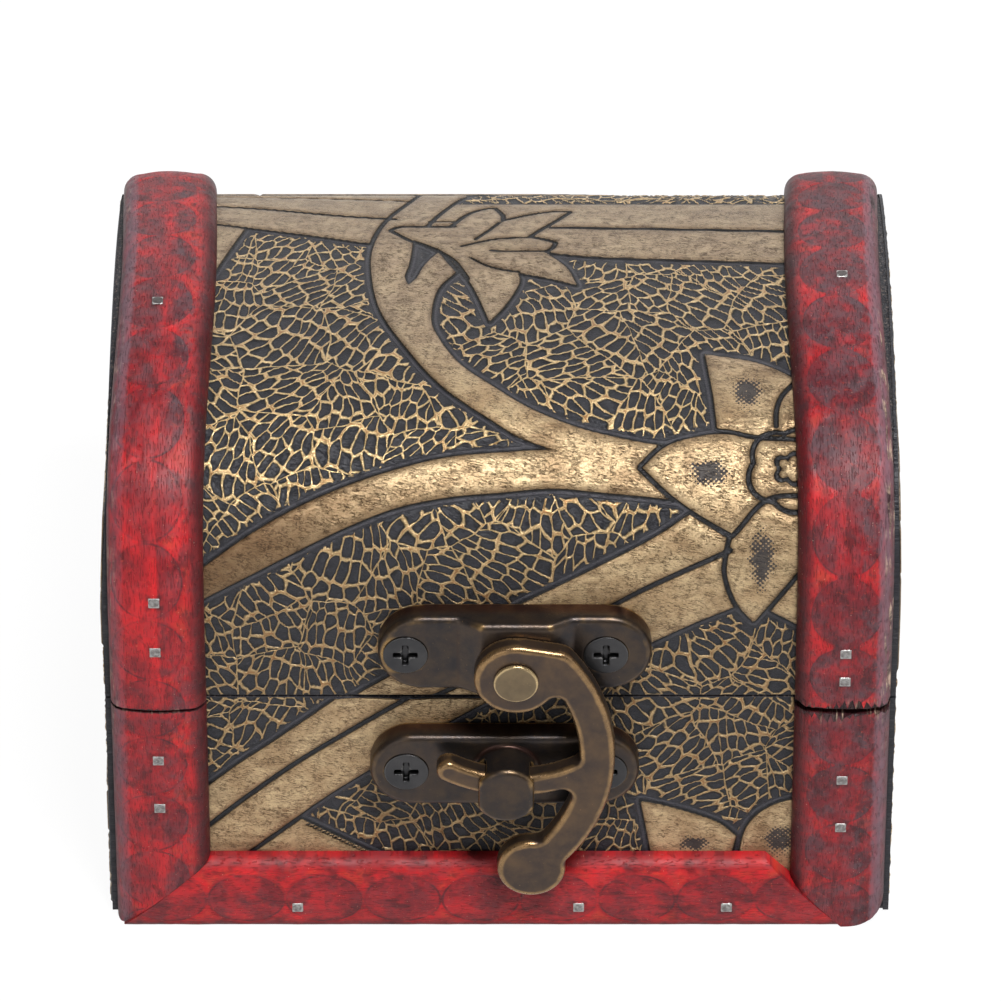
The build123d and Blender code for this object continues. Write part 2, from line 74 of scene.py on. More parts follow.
Point = tuple[float, float]
Span = tuple[float, float]  # where a change begins and where it is complete
Array = np.ndarray
Socket = bpy.types.NodeSocket


def colour(red: int, green: int, blue: int) -> tuple[float, float, float, float]:
    """Turn a colour as seen on a screen into the light values that a shader takes.

    Args:
        red: Red, from 0 to 255.
        green: Green, from 0 to 255.
        blue: Blue, from 0 to 255.

    Returns:
        Linear red, green and blue, and an alpha of 1.
    """
    def linear(value: float) -> float:
        """Undo the screen's curve for one value."""
        return value / 12.92 if value <= 0.04045 else ((value + 0.055) / 1.055) ** 2.4
    return (linear(red / 255), linear(green / 255), linear(blue / 255), 1.0)


class Nodes:
    """Short calls that add nodes to one tree, for a shader or for geometry."""

    def __init__(self, tree: bpy.types.NodeTree) -> None:
        """Keep the tree that the nodes go into."""
        self.tree = tree

    def add(self, kind: str, **settings: object) -> bpy.types.Node:
        """Add a node.

        Args:
            kind: The node's type.
            **settings: Properties of the node.

        Returns:
            The new node.
        """
        node = self.tree.nodes.new(kind)
        for name, value in settings.items():
            setattr(node, name, value)
        return node

    def put(self, socket: Socket, value: object) -> None:
        """Link a socket, or set its value."""
        if isinstance(value, bpy.types.NodeSocket):
            self.tree.links.new(value, socket)
        elif value is not None:
            socket.default_value = value

    def fill(self, kind: str, inputs: dict[int | str, object], **settings: object) -> bpy.types.Node:
        """Add a node and link or set its inputs, each by its number or its name."""
        node = self.add(kind, **settings)
        for key, value in inputs.items():
            self.put(node.inputs[key], value)
        return node

    def math(self, operation: str, *values: object) -> Socket:
        """Add a sum of one to three numbers."""
        return self.fill("ShaderNodeMath", dict(enumerate(values)), operation=operation).outputs[0]

    def times(self, first: object, second: object) -> Socket:
        """Multiply two numbers."""
        return self.math("MULTIPLY", first, second)

    def plus(self, first: object, second: object) -> Socket:
        """Add two numbers."""
        return self.math("ADD", first, second)

    def minus(self, first: object, second: object) -> Socket:
        """Take the second number from the first."""
        return self.math("SUBTRACT", first, second)

    def larger(self, first: object, second: object) -> Socket:
        """Give the larger of two numbers."""
        return self.math("MAXIMUM", first, second)

    def times_plus(self, value: object, factor: object, added: object) -> Socket:
        """Multiply a number by a factor and add another."""
        return self.math("MULTIPLY_ADD", value, factor, added)

    def scaled(self, place: Socket, scale: tuple[float, float, float]) -> Socket:
        """Stretch a place by a factor for each axis."""
        return self.fill("ShaderNodeVectorMath", {0: place, 1: scale}, operation="MULTIPLY").outputs[0]

    def shifted(self, place: Socket, offset: object) -> Socket:
        """Move a place by a vector."""
        return self.fill("ShaderNodeVectorMath", {0: place, 1: offset}, operation="ADD").outputs[0]

    def parts(self, place: Socket) -> list[Socket]:
        """Split a place into its three numbers."""
        return list(self.fill("ShaderNodeSeparateXYZ", {0: place}).outputs)

    def joined(self, first: object, second: object) -> Socket:
        """Join two numbers to a flat place."""
        return self.fill("ShaderNodeCombineXYZ", {0: first, 1: second}).outputs[0]

    def turned(self, place: Socket, angle: object) -> Socket:
        """Turn a place about the third axis."""
        inputs = {"Vector": place, "Angle": angle}
        return self.fill("ShaderNodeVectorRotate", inputs, rotation_type="Z_AXIS").outputs[0]

    def noise(self, place: Socket, scale: object, detail: float = 2.0, rough: float = 0.5) -> Socket:
        """Add soft noise from 0 to 1 about 0.5."""
        inputs = {"Vector": place, "Scale": scale, "Detail": detail, "Roughness": rough}
        return self.fill("ShaderNodeTexNoise", inputs, noise_dimensions="3D").outputs[0]

    def wander(self, place: Socket, scale: float, reach: float) -> Socket:
        """Move a place about by soft noise, up to about half the reach each way."""
        node = self.fill("ShaderNodeTexNoise", {"Vector": place, "Scale": scale}, noise_dimensions="3D")
        centred = self.shifted(node.outputs["Color"], (-0.5, -0.5, -0.5))
        return self.shifted(place, self.scaled(centred, (reach, reach, 0.0)))

    def cells(self, place: Socket, scale: object, feature: str, random: float = 1.0) -> Socket:
        """Add cells and give a distance in them."""
        inputs = {"Vector": place, "Scale": scale, "Randomness": random}
        node = self.fill("ShaderNodeTexVoronoi", inputs, voronoi_dimensions="2D", feature=feature)
        return node.outputs["Distance"]

    def ramp(self, value: object, low: object, high: object, start: float = 0.0, end: float = 1.0) -> Socket:
        """Go smoothly from start to end while a value goes from low to high."""
        inputs = dict(enumerate((value, low, high, start, end)))
        return self.fill("ShaderNodeMapRange", inputs, interpolation_type="SMOOTHSTEP").outputs[0]

    def mix(self, factor: object, first: object, second: object) -> Socket:
        """Mix two colours."""
        return self.fill("ShaderNodeMix", {0: factor, 6: first, 7: second}, data_type="RGBA").outputs[2]

    def coated(self, base: object, coat: object, mask: object, share: float | None = None) -> Socket:
        """Lay one colour over another where a mask is, or over that share of it."""
        return self.mix(mask if share is None else self.times(mask, share), base, coat)

    def between(self, factor: object, first: object, second: object) -> Socket:
        """Mix two numbers."""
        return self.fill("ShaderNodeMix", {0: factor, 2: first, 3: second}, data_type="FLOAT").outputs[0]

    def bump(self, height: Socket, distance: float) -> Socket:
        """Turn a height into a shading normal; the distance is in mm."""
        return self.fill("ShaderNodeBump", {"Height": height, "Distance": distance * MM}).outputs[0]

    def stored(self, name: str, vector: bool = False) -> Socket:
        """Read a value that the mesh keeps at its points, in a shader or a geometry tree."""
        if self.tree.bl_idname == "ShaderNodeTree":
            node = self.add("ShaderNodeAttribute", attribute_name=name)
            return node.outputs["Vector" if vector else "Fac"]
        node = self.add("GeometryNodeInputNamedAttribute", data_type="FLOAT_VECTOR" if vector else "FLOAT")
        node.inputs["Name"].default_value = name
        return node.outputs["Attribute"]

    def group(self, tree: bpy.types.NodeTree, **values: object) -> list[Socket]:
        """Place a shared group with its own values, and give what it puts out."""
        node = self.add("ShaderNodeGroup", node_tree=tree)
        for name, value in values.items():
            self.put(node.inputs[name], value)
        return list(node.outputs)


class SharedEffects:
    """Effects that several finishes use, each a group that is built once."""

    def __init__(self) -> None:
        """Build the groups."""
        self.grain = self.make_grain()
        self.mottle = self.make_mottle()
        self.edge_wear = self.make_edge_wear()
        self.specks = self.make_specks()

    @staticmethod
    def start(name: str, inputs: tuple[str, ...], outputs: tuple[str, ...]) -> tuple[Nodes, Socket, Socket]:
        """Open a group that takes a place, in mm, and plain numbers.

        Args:
            name: The group's name.
            inputs: Names of the numbers that it takes besides the place.
            outputs: Names of the numbers that it gives.

        Returns:
            The group's nodes, its input sockets and its output sockets.
        """
        tree = bpy.data.node_groups.new(name, "ShaderNodeTree")
        tree.interface.new_socket(name="Place", in_out="INPUT", socket_type="NodeSocketVector")
        for label in inputs:
            tree.interface.new_socket(name=label, in_out="INPUT", socket_type="NodeSocketFloat")
        for label in outputs:
            tree.interface.new_socket(name=label, in_out="OUTPUT", socket_type="NodeSocketFloat")
        kit = Nodes(tree)
        return kit, kit.add("NodeGroupInput").outputs, kit.add("NodeGroupOutput").inputs

    def make_grain(self) -> bpy.types.NodeTree:
        """Long streaks and short pores along the second axis of a place in millimetres."""
        kit, given, made = self.start("grain", ("Fineness", "Pores"), ("Streaks", "Pores"))
        long_place = kit.scaled(given["Place"], (1.0, 0.08, 1.0))
        wavy = kit.wander(long_place, 0.35, 0.7)
        kit.put(made["Streaks"], kit.noise(wavy, given["Fineness"], 4.0, 0.62))
        pore_place = kit.scaled(given["Place"], (1.0, 0.16, 1.0))
        pore = kit.noise(pore_place, kit.times(given["Fineness"], 2.6), 1.0, 0.4)
        low = kit.minus(0.72, kit.times(given["Pores"], 0.2))
        kit.put(made["Pores"], kit.ramp(pore, low, kit.plus(low, 0.07)))
        return kit.tree

    def make_mottle(self) -> bpy.types.NodeTree:
        """Uneven patches, from 0 to 1."""
        kit, given, made = self.start("mottle", ("Size", "Share", "Softness"), ("Patches",))
        wavy = kit.wander(given["Place"], 0.5, 1.2)
        spots = kit.noise(wavy, kit.math("DIVIDE", 1.0, given["Size"]), 4.0, 0.6)
        middle = kit.minus(0.72, kit.times(given["Share"], 0.44))
        low = kit.minus(middle, given["Softness"])
        kit.put(made["Patches"], kit.ramp(spots, low, kit.plus(middle, given["Softness"])))
        return kit.tree

    def make_edge_wear(self) -> bpy.types.NodeTree:
        """Rubbed edges: a stored sharpness, broken up by noise."""
        kit, given, made = self.start("edge_wear", ("Sharpness", "Amount", "Size"), ("Wear",))
        rough = kit.noise(given["Place"], kit.math("DIVIDE", 1.0, given["Size"]), 3.0, 0.6)
        lifted = kit.times_plus(kit.minus(rough, 0.5), 0.6, given["Sharpness"])
        low = kit.minus(0.85, given["Amount"])
        kit.put(made["Wear"], kit.ramp(lifted, low, kit.plus(low, 0.4)))
        return kit.tree

    def make_specks(self) -> bpy.types.NodeTree:
        """Fine grains of dirt and pinholes."""
        kit, given, made = self.start("specks", ("Size", "Share"), ("Specks",))
        spot = kit.noise(given["Place"], kit.math("DIVIDE", 1.0, given["Size"]), 1.0, 0.5)
        low = kit.minus(0.8, kit.times(given["Share"], 0.3))
        kit.put(made["Specks"], kit.ramp(spot, low, kit.plus(low, 0.06)))
        return kit.tree


def new_material(name: str) -> tuple[bpy.types.Material, Nodes, bpy.types.Node]:
    """Start a material with a Principled shader.

    Args:
        name: The finish's name.

    Returns:
        The material, its nodes and its shader.
    """
    material = bpy.data.materials.new(name)
    material.use_nodes = True
    kit = Nodes(material.node_tree)
    return material, kit, material.node_tree.nodes["Principled BSDF"]


@dataclass(frozen=True)
class Relief:
    """How the covering is embossed: the crackle's cells and the levels of the pattern, in mm."""

    patch: float = 6.4  # spacing of the patches in which the cells lie in rows
    swing: float = math.radians(130)  # how far the patches' directions differ, about upright
    cell: float = 1.0  # a cell's width
    slimness: float = 0.47  # a cell's width as a share of its length
    disorder: float = 0.58  # 0 sets the cells in even rows, 1 scatters them
    fan: float = 0.055  # how fast the rows of a patch draw together, for each mm along
    ridge: float = 0.066  # half the width of a crackle ridge
    knot: float = 0.34  # how much the ridges thicken where they meet
    knot_start: float = 0.5  # distance from a cell's middle, in cells, where they begin to
    uneven: float = 0.09  # how much the ridges' width varies
    bends: tuple = ((0.12, 3.0), (0.9, 0.25))  # scale and reach of the patches' bending
    row_bend: tuple = (1.2, 0.25)  # the same for the rows, in cells
    soft: float = 0.045  # softness of every painted edge
    soft_form: float = 0.12  # softness of every raised edge
    depth: float = 0.24  # from the raised faces down to the dark ground
    ridge_level: float = 0.7  # height of the crackle ridges, as a share of the depth
    fray: float = 1.3  # how raggedly the crackled ground ends
    field_edge: Span = (-0.05, 0.1)
    rim: Span = (-0.17, -0.05)  # the dark line of painted shade beside a ridge
    core: Span = (0.05, 0.13)  # the middle of a wide ridge
    stipple_pitch: float = 0.36  # spacing of the dots' rows
    stipple_fray: float = 1.2  # how raggedly a stippled patch ends
    stipple_fill: float = 6.0  # how much its middle fills up
    dot: Span = (1.0, 1.6)  # a dot's edge, on the scale of the two added waves
    stipple_sunk: float = 0.25  # how deep the dots are, as a share of the depth

    def crackle(self, kit: Nodes, sheet: Socket) -> tuple[Socket, Socket]:
        """Lay out the cells: patches with their own direction, and rows of cells that fan out in each.

        Args:
            kit: The nodes of a shader or a geometry tree.
            sheet: Places on the sheet.

        Returns:
            The distance to the nearest cell's edge, and a measure that grows towards the cells' corners.
        """
        bent = sheet
        for scale, reach in self.bends:
            bent = kit.wander(bent, scale, reach)
        inputs = {"Vector": bent, "Scale": 1 / self.patch}
        patch = kit.fill("ShaderNodeTexVoronoi", inputs, voronoi_dimensions="2D", feature="F1")
        chance, other, _ = kit.parts(patch.outputs["Color"])
        from_middle = kit.shifted(bent, kit.scaled(patch.outputs["Position"], (-1.0, -1.0, 0.0)))
        angle = kit.times_plus(chance, self.swing, -self.swing / 2)
        across, along, _ = kit.parts(kit.turned(from_middle, angle))
        across = kit.times(across, kit.times_plus(along, self.fan, 1.0))
        across = kit.times_plus(other, 40.0, kit.math("DIVIDE", across, self.cell))
        row = kit.joined(across, kit.times(along, self.slimness / self.cell))
        row = kit.wander(row, *self.row_bend)
        border = kit.times(kit.cells(row, 1.0, "DISTANCE_TO_EDGE", self.disorder), self.cell)
        seam = kit.times(kit.cells(bent, 1 / self.patch, "DISTANCE_TO_EDGE"), self.patch)
        reach = kit.cells(row, 1.0, "F1", self.disorder)
        corner = kit.larger(kit.minus(reach, self.knot_start), 0.0)
        return kit.math("MINIMUM", border, seam), corner

    def masks(self, kit: Nodes, soft: float) -> dict[str, Socket]:
        """Work out the pattern from the values that the covering keeps at its points.

        Args:
            kit: The nodes of a shader or a geometry tree.
            soft: Half the width of the change at an edge.

        Returns:
            Masks of the raised faces (plateau), of the crackle's ridges (ridge), of the middle of wide
            ridges (core), of the dark line of painted shade round every ridge (rim) and of the stippled dots
            (stipple).
        """
        sheet = kit.stored("sheet", True)
        border, corner = self.crackle(kit, sheet)
        chance = kit.minus(kit.noise(sheet, 0.9), 0.5)
        width = kit.times_plus(chance, self.uneven * 2, self.ridge)
        width = kit.times_plus(corner, self.knot, width)
        rise = kit.minus(width, border)
        ragged = kit.times_plus(kit.minus(kit.noise(sheet, 1.5), 0.5), self.fray, kit.stored("field"))
        present = kit.ramp(ragged, *self.field_edge)
        ridge = kit.times(kit.ramp(rise, -soft, soft), present)
        rim = kit.times(kit.ramp(rise, *self.rim), present)
        plateau = kit.ramp(kit.stored("plateau"), -soft, soft)
        x, s, _ = kit.parts(sheet)
        turn = math.tau / self.stipple_pitch
        slant = math.sqrt(1 / 2)
        waves = []
        for other in (s, kit.times(s, -1.0)):
            along = kit.times(kit.plus(x, other), slant * turn)
            waves.append(kit.math("SINE", along))
        chance = kit.minus(kit.noise(sheet, 1.2), 0.5)
        ragged_patch = kit.times_plus(chance, self.stipple_fray, kit.stored("stipple"))
        dots = kit.plus(kit.plus(*waves), kit.times(ragged_patch, self.stipple_fill))
        return {
            "plateau": plateau, "ridge": ridge, "core": kit.ramp(rise, *self.core), "rim": rim,
            "stipple": kit.ramp(dots, *self.dot),
        }

    def height(self, kit: Nodes) -> Socket:
        """Give how far a point of the covering moves out, in millimetres, never above 0."""
        masks = self.masks(kit, self.soft_form)
        top = kit.larger(masks["plateau"], kit.times(masks["ridge"], self.ridge_level))
        top = kit.minus(top, kit.times(masks["stipple"], self.stipple_sunk))
        return kit.times(kit.minus(top, 1.0), self.depth)


@dataclass(frozen=True)
class Leathercloth:
    """Black embossed leathercloth, its raised faces rubbed with antique gold."""

    effects: SharedEffects
    relief: Relief
    name: str = "embossed_leathercloth"
    ground: tuple = colour(33, 33, 39)
    # paler ground: worn patches, and the painted highlight on the bead
    ground_worn_and_lit: tuple = colour(82, 80, 86)
    # near black: painted shade beside the ridges and at the foot of the raised faces
    crease_shade: tuple = colour(8, 7, 7)
    fleck: tuple = colour(128, 114, 104)
    gold: tuple = colour(178, 151, 114)
    gold_brown: tuple = colour(106, 79, 53)
    gold_pale: tuple = colour(222, 198, 156)
    ridge_gold: tuple = colour(196, 160, 108)
    ridge_pale: tuple = colour(240, 212, 162)
    ridge_brown: tuple = colour(176, 130, 82)
    # painted grey sheen: the gold greys up the lid, standing in for reflected light
    sheen_grey: tuple = colour(122, 112, 104)
    crease: tuple = colour(66, 46, 31)
    metallic: float = 0.6
    dome: float = 0.9  # how far in from their edges the raised faces curve, in mm
    bump: float = 0.07  # height of the shading's bumps, in mm
    sheen_aloft: Span = (56.0, 72.0)  # up the lid, a painted grey sheen sets in between these places
    shaded: Span = (54.0, 38.0)  # down the lid, the ridges darken between these
    left_shade_side: Span = (-4.0, -25.0)  # the browner stretch on the left, painted shade where the shoulder's highlight is weaker: its right side,
    left_shade_top: Span = (54.0, 50.0)  # its upper end
    left_shade_foot: Span = (27.0, 34.0)  # and its lower end
    bead_outer: Span = (-0.62, -0.46)  # the raised line round the raised faces, painted lighter as a highlight: its outer side
    bead_inner: Span = (-0.18, -0.32)  # and its inner side
    groove: Span = (-0.26, -0.1)  # the dark line of painted shade between it and the raised face

    def wrinkles(self, kit: Nodes, sheet: Socket) -> Socket:
        """Draw the fine creases of worn leather, short and mostly across."""
        stretched = kit.scaled(kit.turned(sheet, math.radians(12)), (0.5, 1.8, 1.0))
        bend = kit.math("ABSOLUTE", kit.minus(kit.noise(stretched, 2.3, 3.0, 0.6), 0.5))
        line = kit.ramp(bend, 0.0, 0.045, 1.0, 0.0)
        return kit.times(line, kit.ramp(kit.noise(sheet, 0.9, 2.0), 0.36, 0.6))

    def gold_tone(self, kit: Nodes, sheet: Socket, inward: Socket, fine: Socket) -> Socket:
        """Mix the raised faces' colour: paler and browner patches, brown edges and a browner stretch of
        painted shade on the left.

        Args:
            kit: The material's nodes.
            sheet: Places on the sheet.
            inward: Distance inside the raised faces.
            fine: Fine noise.

        Returns:
            The colour.
        """
        across = kit.turned(sheet, math.radians(90))
        streaks, pores = kit.group(self.effects.grain, Place=across, Fineness=1.5, Pores=0.75)
        pale, = kit.group(self.effects.mottle, Place=sheet, Size=3.4, Share=0.5, Softness=0.16)
        moved = kit.shifted(sheet, (40.0, 13.0, 0.0))
        brown, = kit.group(self.effects.mottle, Place=moved, Size=4.6, Share=0.45, Softness=0.14)
        gold = kit.coated(self.gold, self.gold_pale, pale, 0.5)
        worn = kit.times(brown, kit.ramp(streaks, 0.3, 0.65, 0.0, 0.6))
        near_edge = kit.ramp(inward, 0.7, 0.0, 0.0, 0.5)
        gold = kit.coated(gold, self.gold_brown, kit.larger(worn, near_edge))
        gold = kit.coated(gold, self.gold_brown, kit.ramp(fine, 0.45, 0.75, 0.0, 0.35))
        x, s, _ = kit.parts(sheet)
        # painted shade: browner on the left, where the shoulder's highlight is weaker
        left_shade = kit.times(kit.ramp(x, *self.left_shade_side, 0.0, 0.8), kit.ramp(s, *self.left_shade_top))
        left_shade = kit.times(left_shade, kit.ramp(s, *self.left_shade_foot))
        gold = kit.coated(gold, self.gold_brown, left_shade)
        return kit.coated(gold, self.crease, pores, 0.12)

    def material(self) -> bpy.types.Material:
        """Build the finish."""
        material, kit, shader = new_material(self.name)
        sheet = kit.stored("sheet", True)
        up = kit.parts(sheet)[1]
        masks = self.relief.masks(kit, self.relief.soft)
        plateau, ridge, rim = masks["plateau"], masks["ridge"], masks["rim"]
        inward = kit.stored("plateau")
        fine = kit.noise(sheet, 5.5, 3.0, 0.6)
        strokes = kit.scaled(kit.turned(sheet, math.radians(15)), (0.4, 1.7, 1.0))
        pits = kit.ramp(kit.noise(strokes, 4.0, 3.0, 0.65), 0.32, 0.45, 1.0, 0.0)
        crease = self.wrinkles(kit, sheet)
        gold = self.gold_tone(kit, sheet, inward, fine)
        # painted grey sheen up the lid, for the gold and the ridges alike
        sheen_aloft = kit.ramp(up, *self.sheen_aloft, 0.0, 0.45)
        gold = kit.coated(gold, self.sheen_grey, sheen_aloft)
        gold = kit.coated(gold, self.crease, crease, 0.8)
        gold = kit.coated(gold, self.crease, pits, 0.6)
        ridges = kit.mix(kit.ramp(fine, 0.3, 0.6), self.ridge_gold, self.ridge_pale)
        tint = kit.ramp(kit.noise(sheet, 0.8, 2.0), 0.35, 0.6, 0.35, 1.0)
        ridges = kit.coated(ridges, self.ridge_brown, kit.times(masks["core"], tint))
        ridges = kit.coated(ridges, self.gold_brown, kit.ramp(up, *self.shaded, 0.0, 0.52))
        ridges = kit.coated(ridges, self.sheen_grey, sheen_aloft, 0.7)
        scuffed = kit.ramp(kit.noise(sheet, 3.0, 4.0), 0.55, 0.8, 0.0, 0.4)
        dark = kit.coated(self.ground, self.ground_worn_and_lit, scuffed)
        # painted shade: a near-black line beside every ridge
        dark = kit.coated(dark, self.crease_shade, rim, 0.9)
        # painted highlight: the bead's slope round the raised faces is painted lighter
        bead = kit.times(kit.ramp(inward, *self.bead_outer), kit.ramp(inward, *self.bead_inner))
        dark = kit.coated(dark, self.ground_worn_and_lit, kit.times(bead, kit.ramp(fine, 0.3, 0.6, 0.12, 0.45)))
        # painted shade in the groove at the foot of the raised faces
        dark = kit.coated(dark, self.crease_shade, kit.ramp(inward, *self.groove, 0.0, 0.95))
        selvage = kit.times(kit.ramp(kit.stored("field"), -0.85, -0.97), kit.ramp(inward, -0.9, -0.99))
        flecks = kit.ramp(kit.noise(sheet, 3.4, 4.0, 0.7), 0.52, 0.66, 0.0, 0.8)
        dark = kit.coated(dark, self.fleck, kit.times(selvage, flecks))
        coat = kit.mix(plateau, kit.mix(ridge, dark, ridges), gold)
        coat = kit.coated(coat, self.ground, masks["stipple"], 0.92)
        bare = kit.minus(1.0, masks["stipple"])
        painted = kit.times(kit.larger(plateau, ridge), bare)
        kit.put(shader.inputs["Base Color"], coat)
        kit.put(shader.inputs["Metallic"], kit.times(painted, self.metallic))
        rough = kit.between(painted, 0.48, 0.34)
        rough = kit.times_plus(kit.minus(fine, 0.5), 0.22, rough)
        kit.put(shader.inputs["Roughness"], rough)
        shader.inputs["Specular IOR Level"].default_value = 0.42
        small = kit.times_plus(crease, -0.6, kit.times_plus(pits, -0.7, fine))
        edges = kit.times(kit.larger(plateau, kit.times(ridge, 0.75)), 2.0)
        form = kit.times_plus(kit.ramp(inward, 0.0, self.dome), 1.8, kit.times(bead, 1.2))
        height = kit.plus(kit.plus(edges, form), kit.times_plus(rim, -0.5, small))
        kit.put(shader.inputs["Normal"], kit.bump(height, self.bump))
        return material


@dataclass(frozen=True)
class StainedWood:
    """Half-round strip wood with a red stain, stamped discs, greyed wear, and painted shade, grey sheen and
    highlights.
    """

    effects: SharedEffects
    name: str = "stained_wood"
    red: tuple = colour(154, 18, 25)
    bright: tuple = colour(206, 28, 33)
    maroon: tuple = colour(84, 27, 35)
    grey: tuple = colour(84, 58, 64)
    lilac: tuple = colour(112, 88, 98)
    orange: tuple = colour(190, 60, 36)
    dark: tuple = colour(42, 16, 20)
    pale: tuple = colour(196, 168, 146)
    bump: float = 0.07  # height of the shading's bumps, in mm
    bright_outer: Span = (3.5, 2.6)  # outward places between which the redder corners fade out
    bright_inner: Span = (-3.6, -2.8)
    inner_foot_shade: Span = (-2.7, -4.2)  # painted shade darkens the inner side down to the covering between these
    outer_side: Span = (3.4, 4.0)  # the outer side, greyed by use and by painted shade, begins here
    outer_foot_shade: Span = (4.2, 4.65)  # and painted shade darkens it here

    def patches(self, kit: Nodes, place: Socket, number: float, size: float, share: float) -> Socket:
        """Add uneven patches that differ from the others by their number."""
        moved = kit.shifted(place, (31.0 * number, 7.0 * number, 5.0 * number))
        return kit.group(self.effects.mottle, Place=moved, Size=size, Share=share, Softness=0.1)[0]

    def material(self) -> bpy.types.Material:
        """Build the finish."""
        material, kit, shader = new_material(self.name)
        place = kit.stored("place", True)
        disc = kit.stored("disc")
        outward = kit.stored("outward")
        greyed = kit.stored("greyed")
        streaks, _ = kit.group(self.effects.grain, Place=place, Fineness=0.7, Pores=0.5)
        fine, pores = kit.group(self.effects.grain, Place=place, Fineness=3.0, Pores=0.7)
        across = kit.turned(place, math.radians(90))
        cross, _ = kit.group(self.effects.grain, Place=across, Fineness=1.1, Pores=0.0)
        specks, = kit.group(self.effects.specks, Place=place, Size=0.2, Share=0.22)
        arris = kit.stored("arris")
        wear, = kit.group(self.effects.edge_wear, Place=place, Sharpness=arris, Amount=0.5, Size=0.9)
        broad = self.patches(kit, place, 1.0, 4.5, 0.5)
        blotch = self.patches(kit, place, 2.0, 1.9, 0.45)
        lit = kit.times(broad, kit.ramp(streaks, 0.3, 0.6))
        tone = kit.coated(self.red, self.bright, lit)
        streaked = kit.times(kit.ramp(fine, 0.42, 0.75), 0.4)
        tone = kit.coated(tone, self.maroon, streaked)
        # brighter red where the wood is least grey: partly its own stain, partly a painted highlight
        tone = kit.coated(tone, self.bright, kit.ramp(greyed, 0.12, 0.0, 0.0, 0.6))
        tone = kit.coated(tone, self.maroon, kit.ramp(cross, 0.5, 0.8, 0.0, 0.16))
        spandrel = kit.times(kit.ramp(disc, -0.1, -0.45), kit.ramp(outward, *self.bright_outer))
        spandrel = kit.times(spandrel, kit.ramp(outward, *self.bright_inner))
        glow = kit.times(spandrel, self.patches(kit, place, 3.0, 2.6, 0.55))
        tone = kit.coated(tone, kit.mix(blotch, self.bright, self.orange), glow, 0.55)
        pressed = kit.ramp(disc, -0.04, 0.08)
        stamped = kit.times(pressed, kit.times_plus(broad, -0.3, 0.55))
        tone = kit.coated(tone, self.maroon, kit.times(stamped, kit.stored("stamp")))
        ring = kit.ramp(kit.math("ABSOLUTE", kit.minus(disc, 0.04)), 0.16, 0.02)
        broken = kit.times(ring, kit.ramp(blotch, 0.0, 1.0, 0.2, 0.75))
        tone = kit.coated(tone, kit.mix(0.5, self.maroon, self.dark), broken)
        uneven = kit.times_plus(self.patches(kit, place, 4.0, 3.0, 0.5), 0.6, 0.5)
        worn = kit.times(kit.times(greyed, uneven), kit.times_plus(pressed, 0.6, 0.4))
        tone = kit.coated(tone, kit.mix(blotch, self.maroon, self.grey), worn)
        share = kit.times_plus(greyed, 0.5, 0.15)
        tone = kit.coated(tone, self.grey, kit.times(self.patches(kit, place, 5.0, 1.5, 0.36), share))
        soiled = self.patches(kit, kit.scaled(place, (1.0, 0.45, 1.0)), 7.0, 1.1, 0.3)
        tone = kit.coated(tone, self.dark, soiled, 0.55)
        flecks = self.patches(kit, place, 6.0, 0.5, 0.16)
        tone = kit.coated(tone, self.orange, flecks, 0.4)
        # painted shade where the strip's inner side meets the covering
        tone = kit.coated(tone, self.dark, kit.ramp(outward, *self.inner_foot_shade, 0.0, 0.8))
        # the outer side: greyed by use, and darker with painted shade
        side = kit.times(kit.ramp(outward, *self.outer_side), kit.ramp(greyed, 0.1, 0.9, 0.4, 0.72))
        tone = kit.coated(tone, kit.mix(blotch, self.grey, self.lilac), side)
        # painted shade where the outer side meets the covering
        tone = kit.coated(tone, self.dark, kit.ramp(outward, *self.outer_foot_shade, 0.0, 0.5))
        rubbed = kit.times(wear, kit.ramp(greyed, 0.1, 0.9, 0.2, 0.6))
        tone = kit.coated(tone, self.lilac, rubbed)
        tone = kit.coated(tone, self.dark, pores, 0.3)
        tone = kit.coated(tone, self.pale, specks, 0.45)
        rusted = kit.ramp(kit.stored("nailed"), 0.25, 1.0, 0.0, 0.75)
        tone = kit.coated(tone, self.dark, kit.times(rusted, kit.ramp(blotch, 0.0, 0.7, 0.6, 1.0)))
        # painted shade: the saw cut's end faces are dark, and the rails' upper edges take a painted shadow
        tone = kit.coated(tone, self.dark, kit.ramp(kit.stored("cut"), 0.55, 1.0, 0.0, 0.92))
        splinter = kit.times(kit.stored("split"), kit.ramp(fine, 0.5, 0.62))
        tone = kit.coated(tone, kit.mix(blotch, self.dark, self.pale), splinter)
        kit.put(shader.inputs["Base Color"], tone)
        rough = kit.times_plus(blotch, 0.12, 0.42)
        kit.put(shader.inputs["Roughness"], kit.times_plus(fine, 0.12, rough))
        shader.inputs["Specular IOR Level"].default_value = 0.32
        height = kit.minus(kit.times(fine, 0.5), kit.times(pores, 0.8))
        height = kit.plus(height, kit.times(splinter, 1.5))
        kit.put(shader.inputs["Normal"], kit.bump(height, self.bump))
        return material


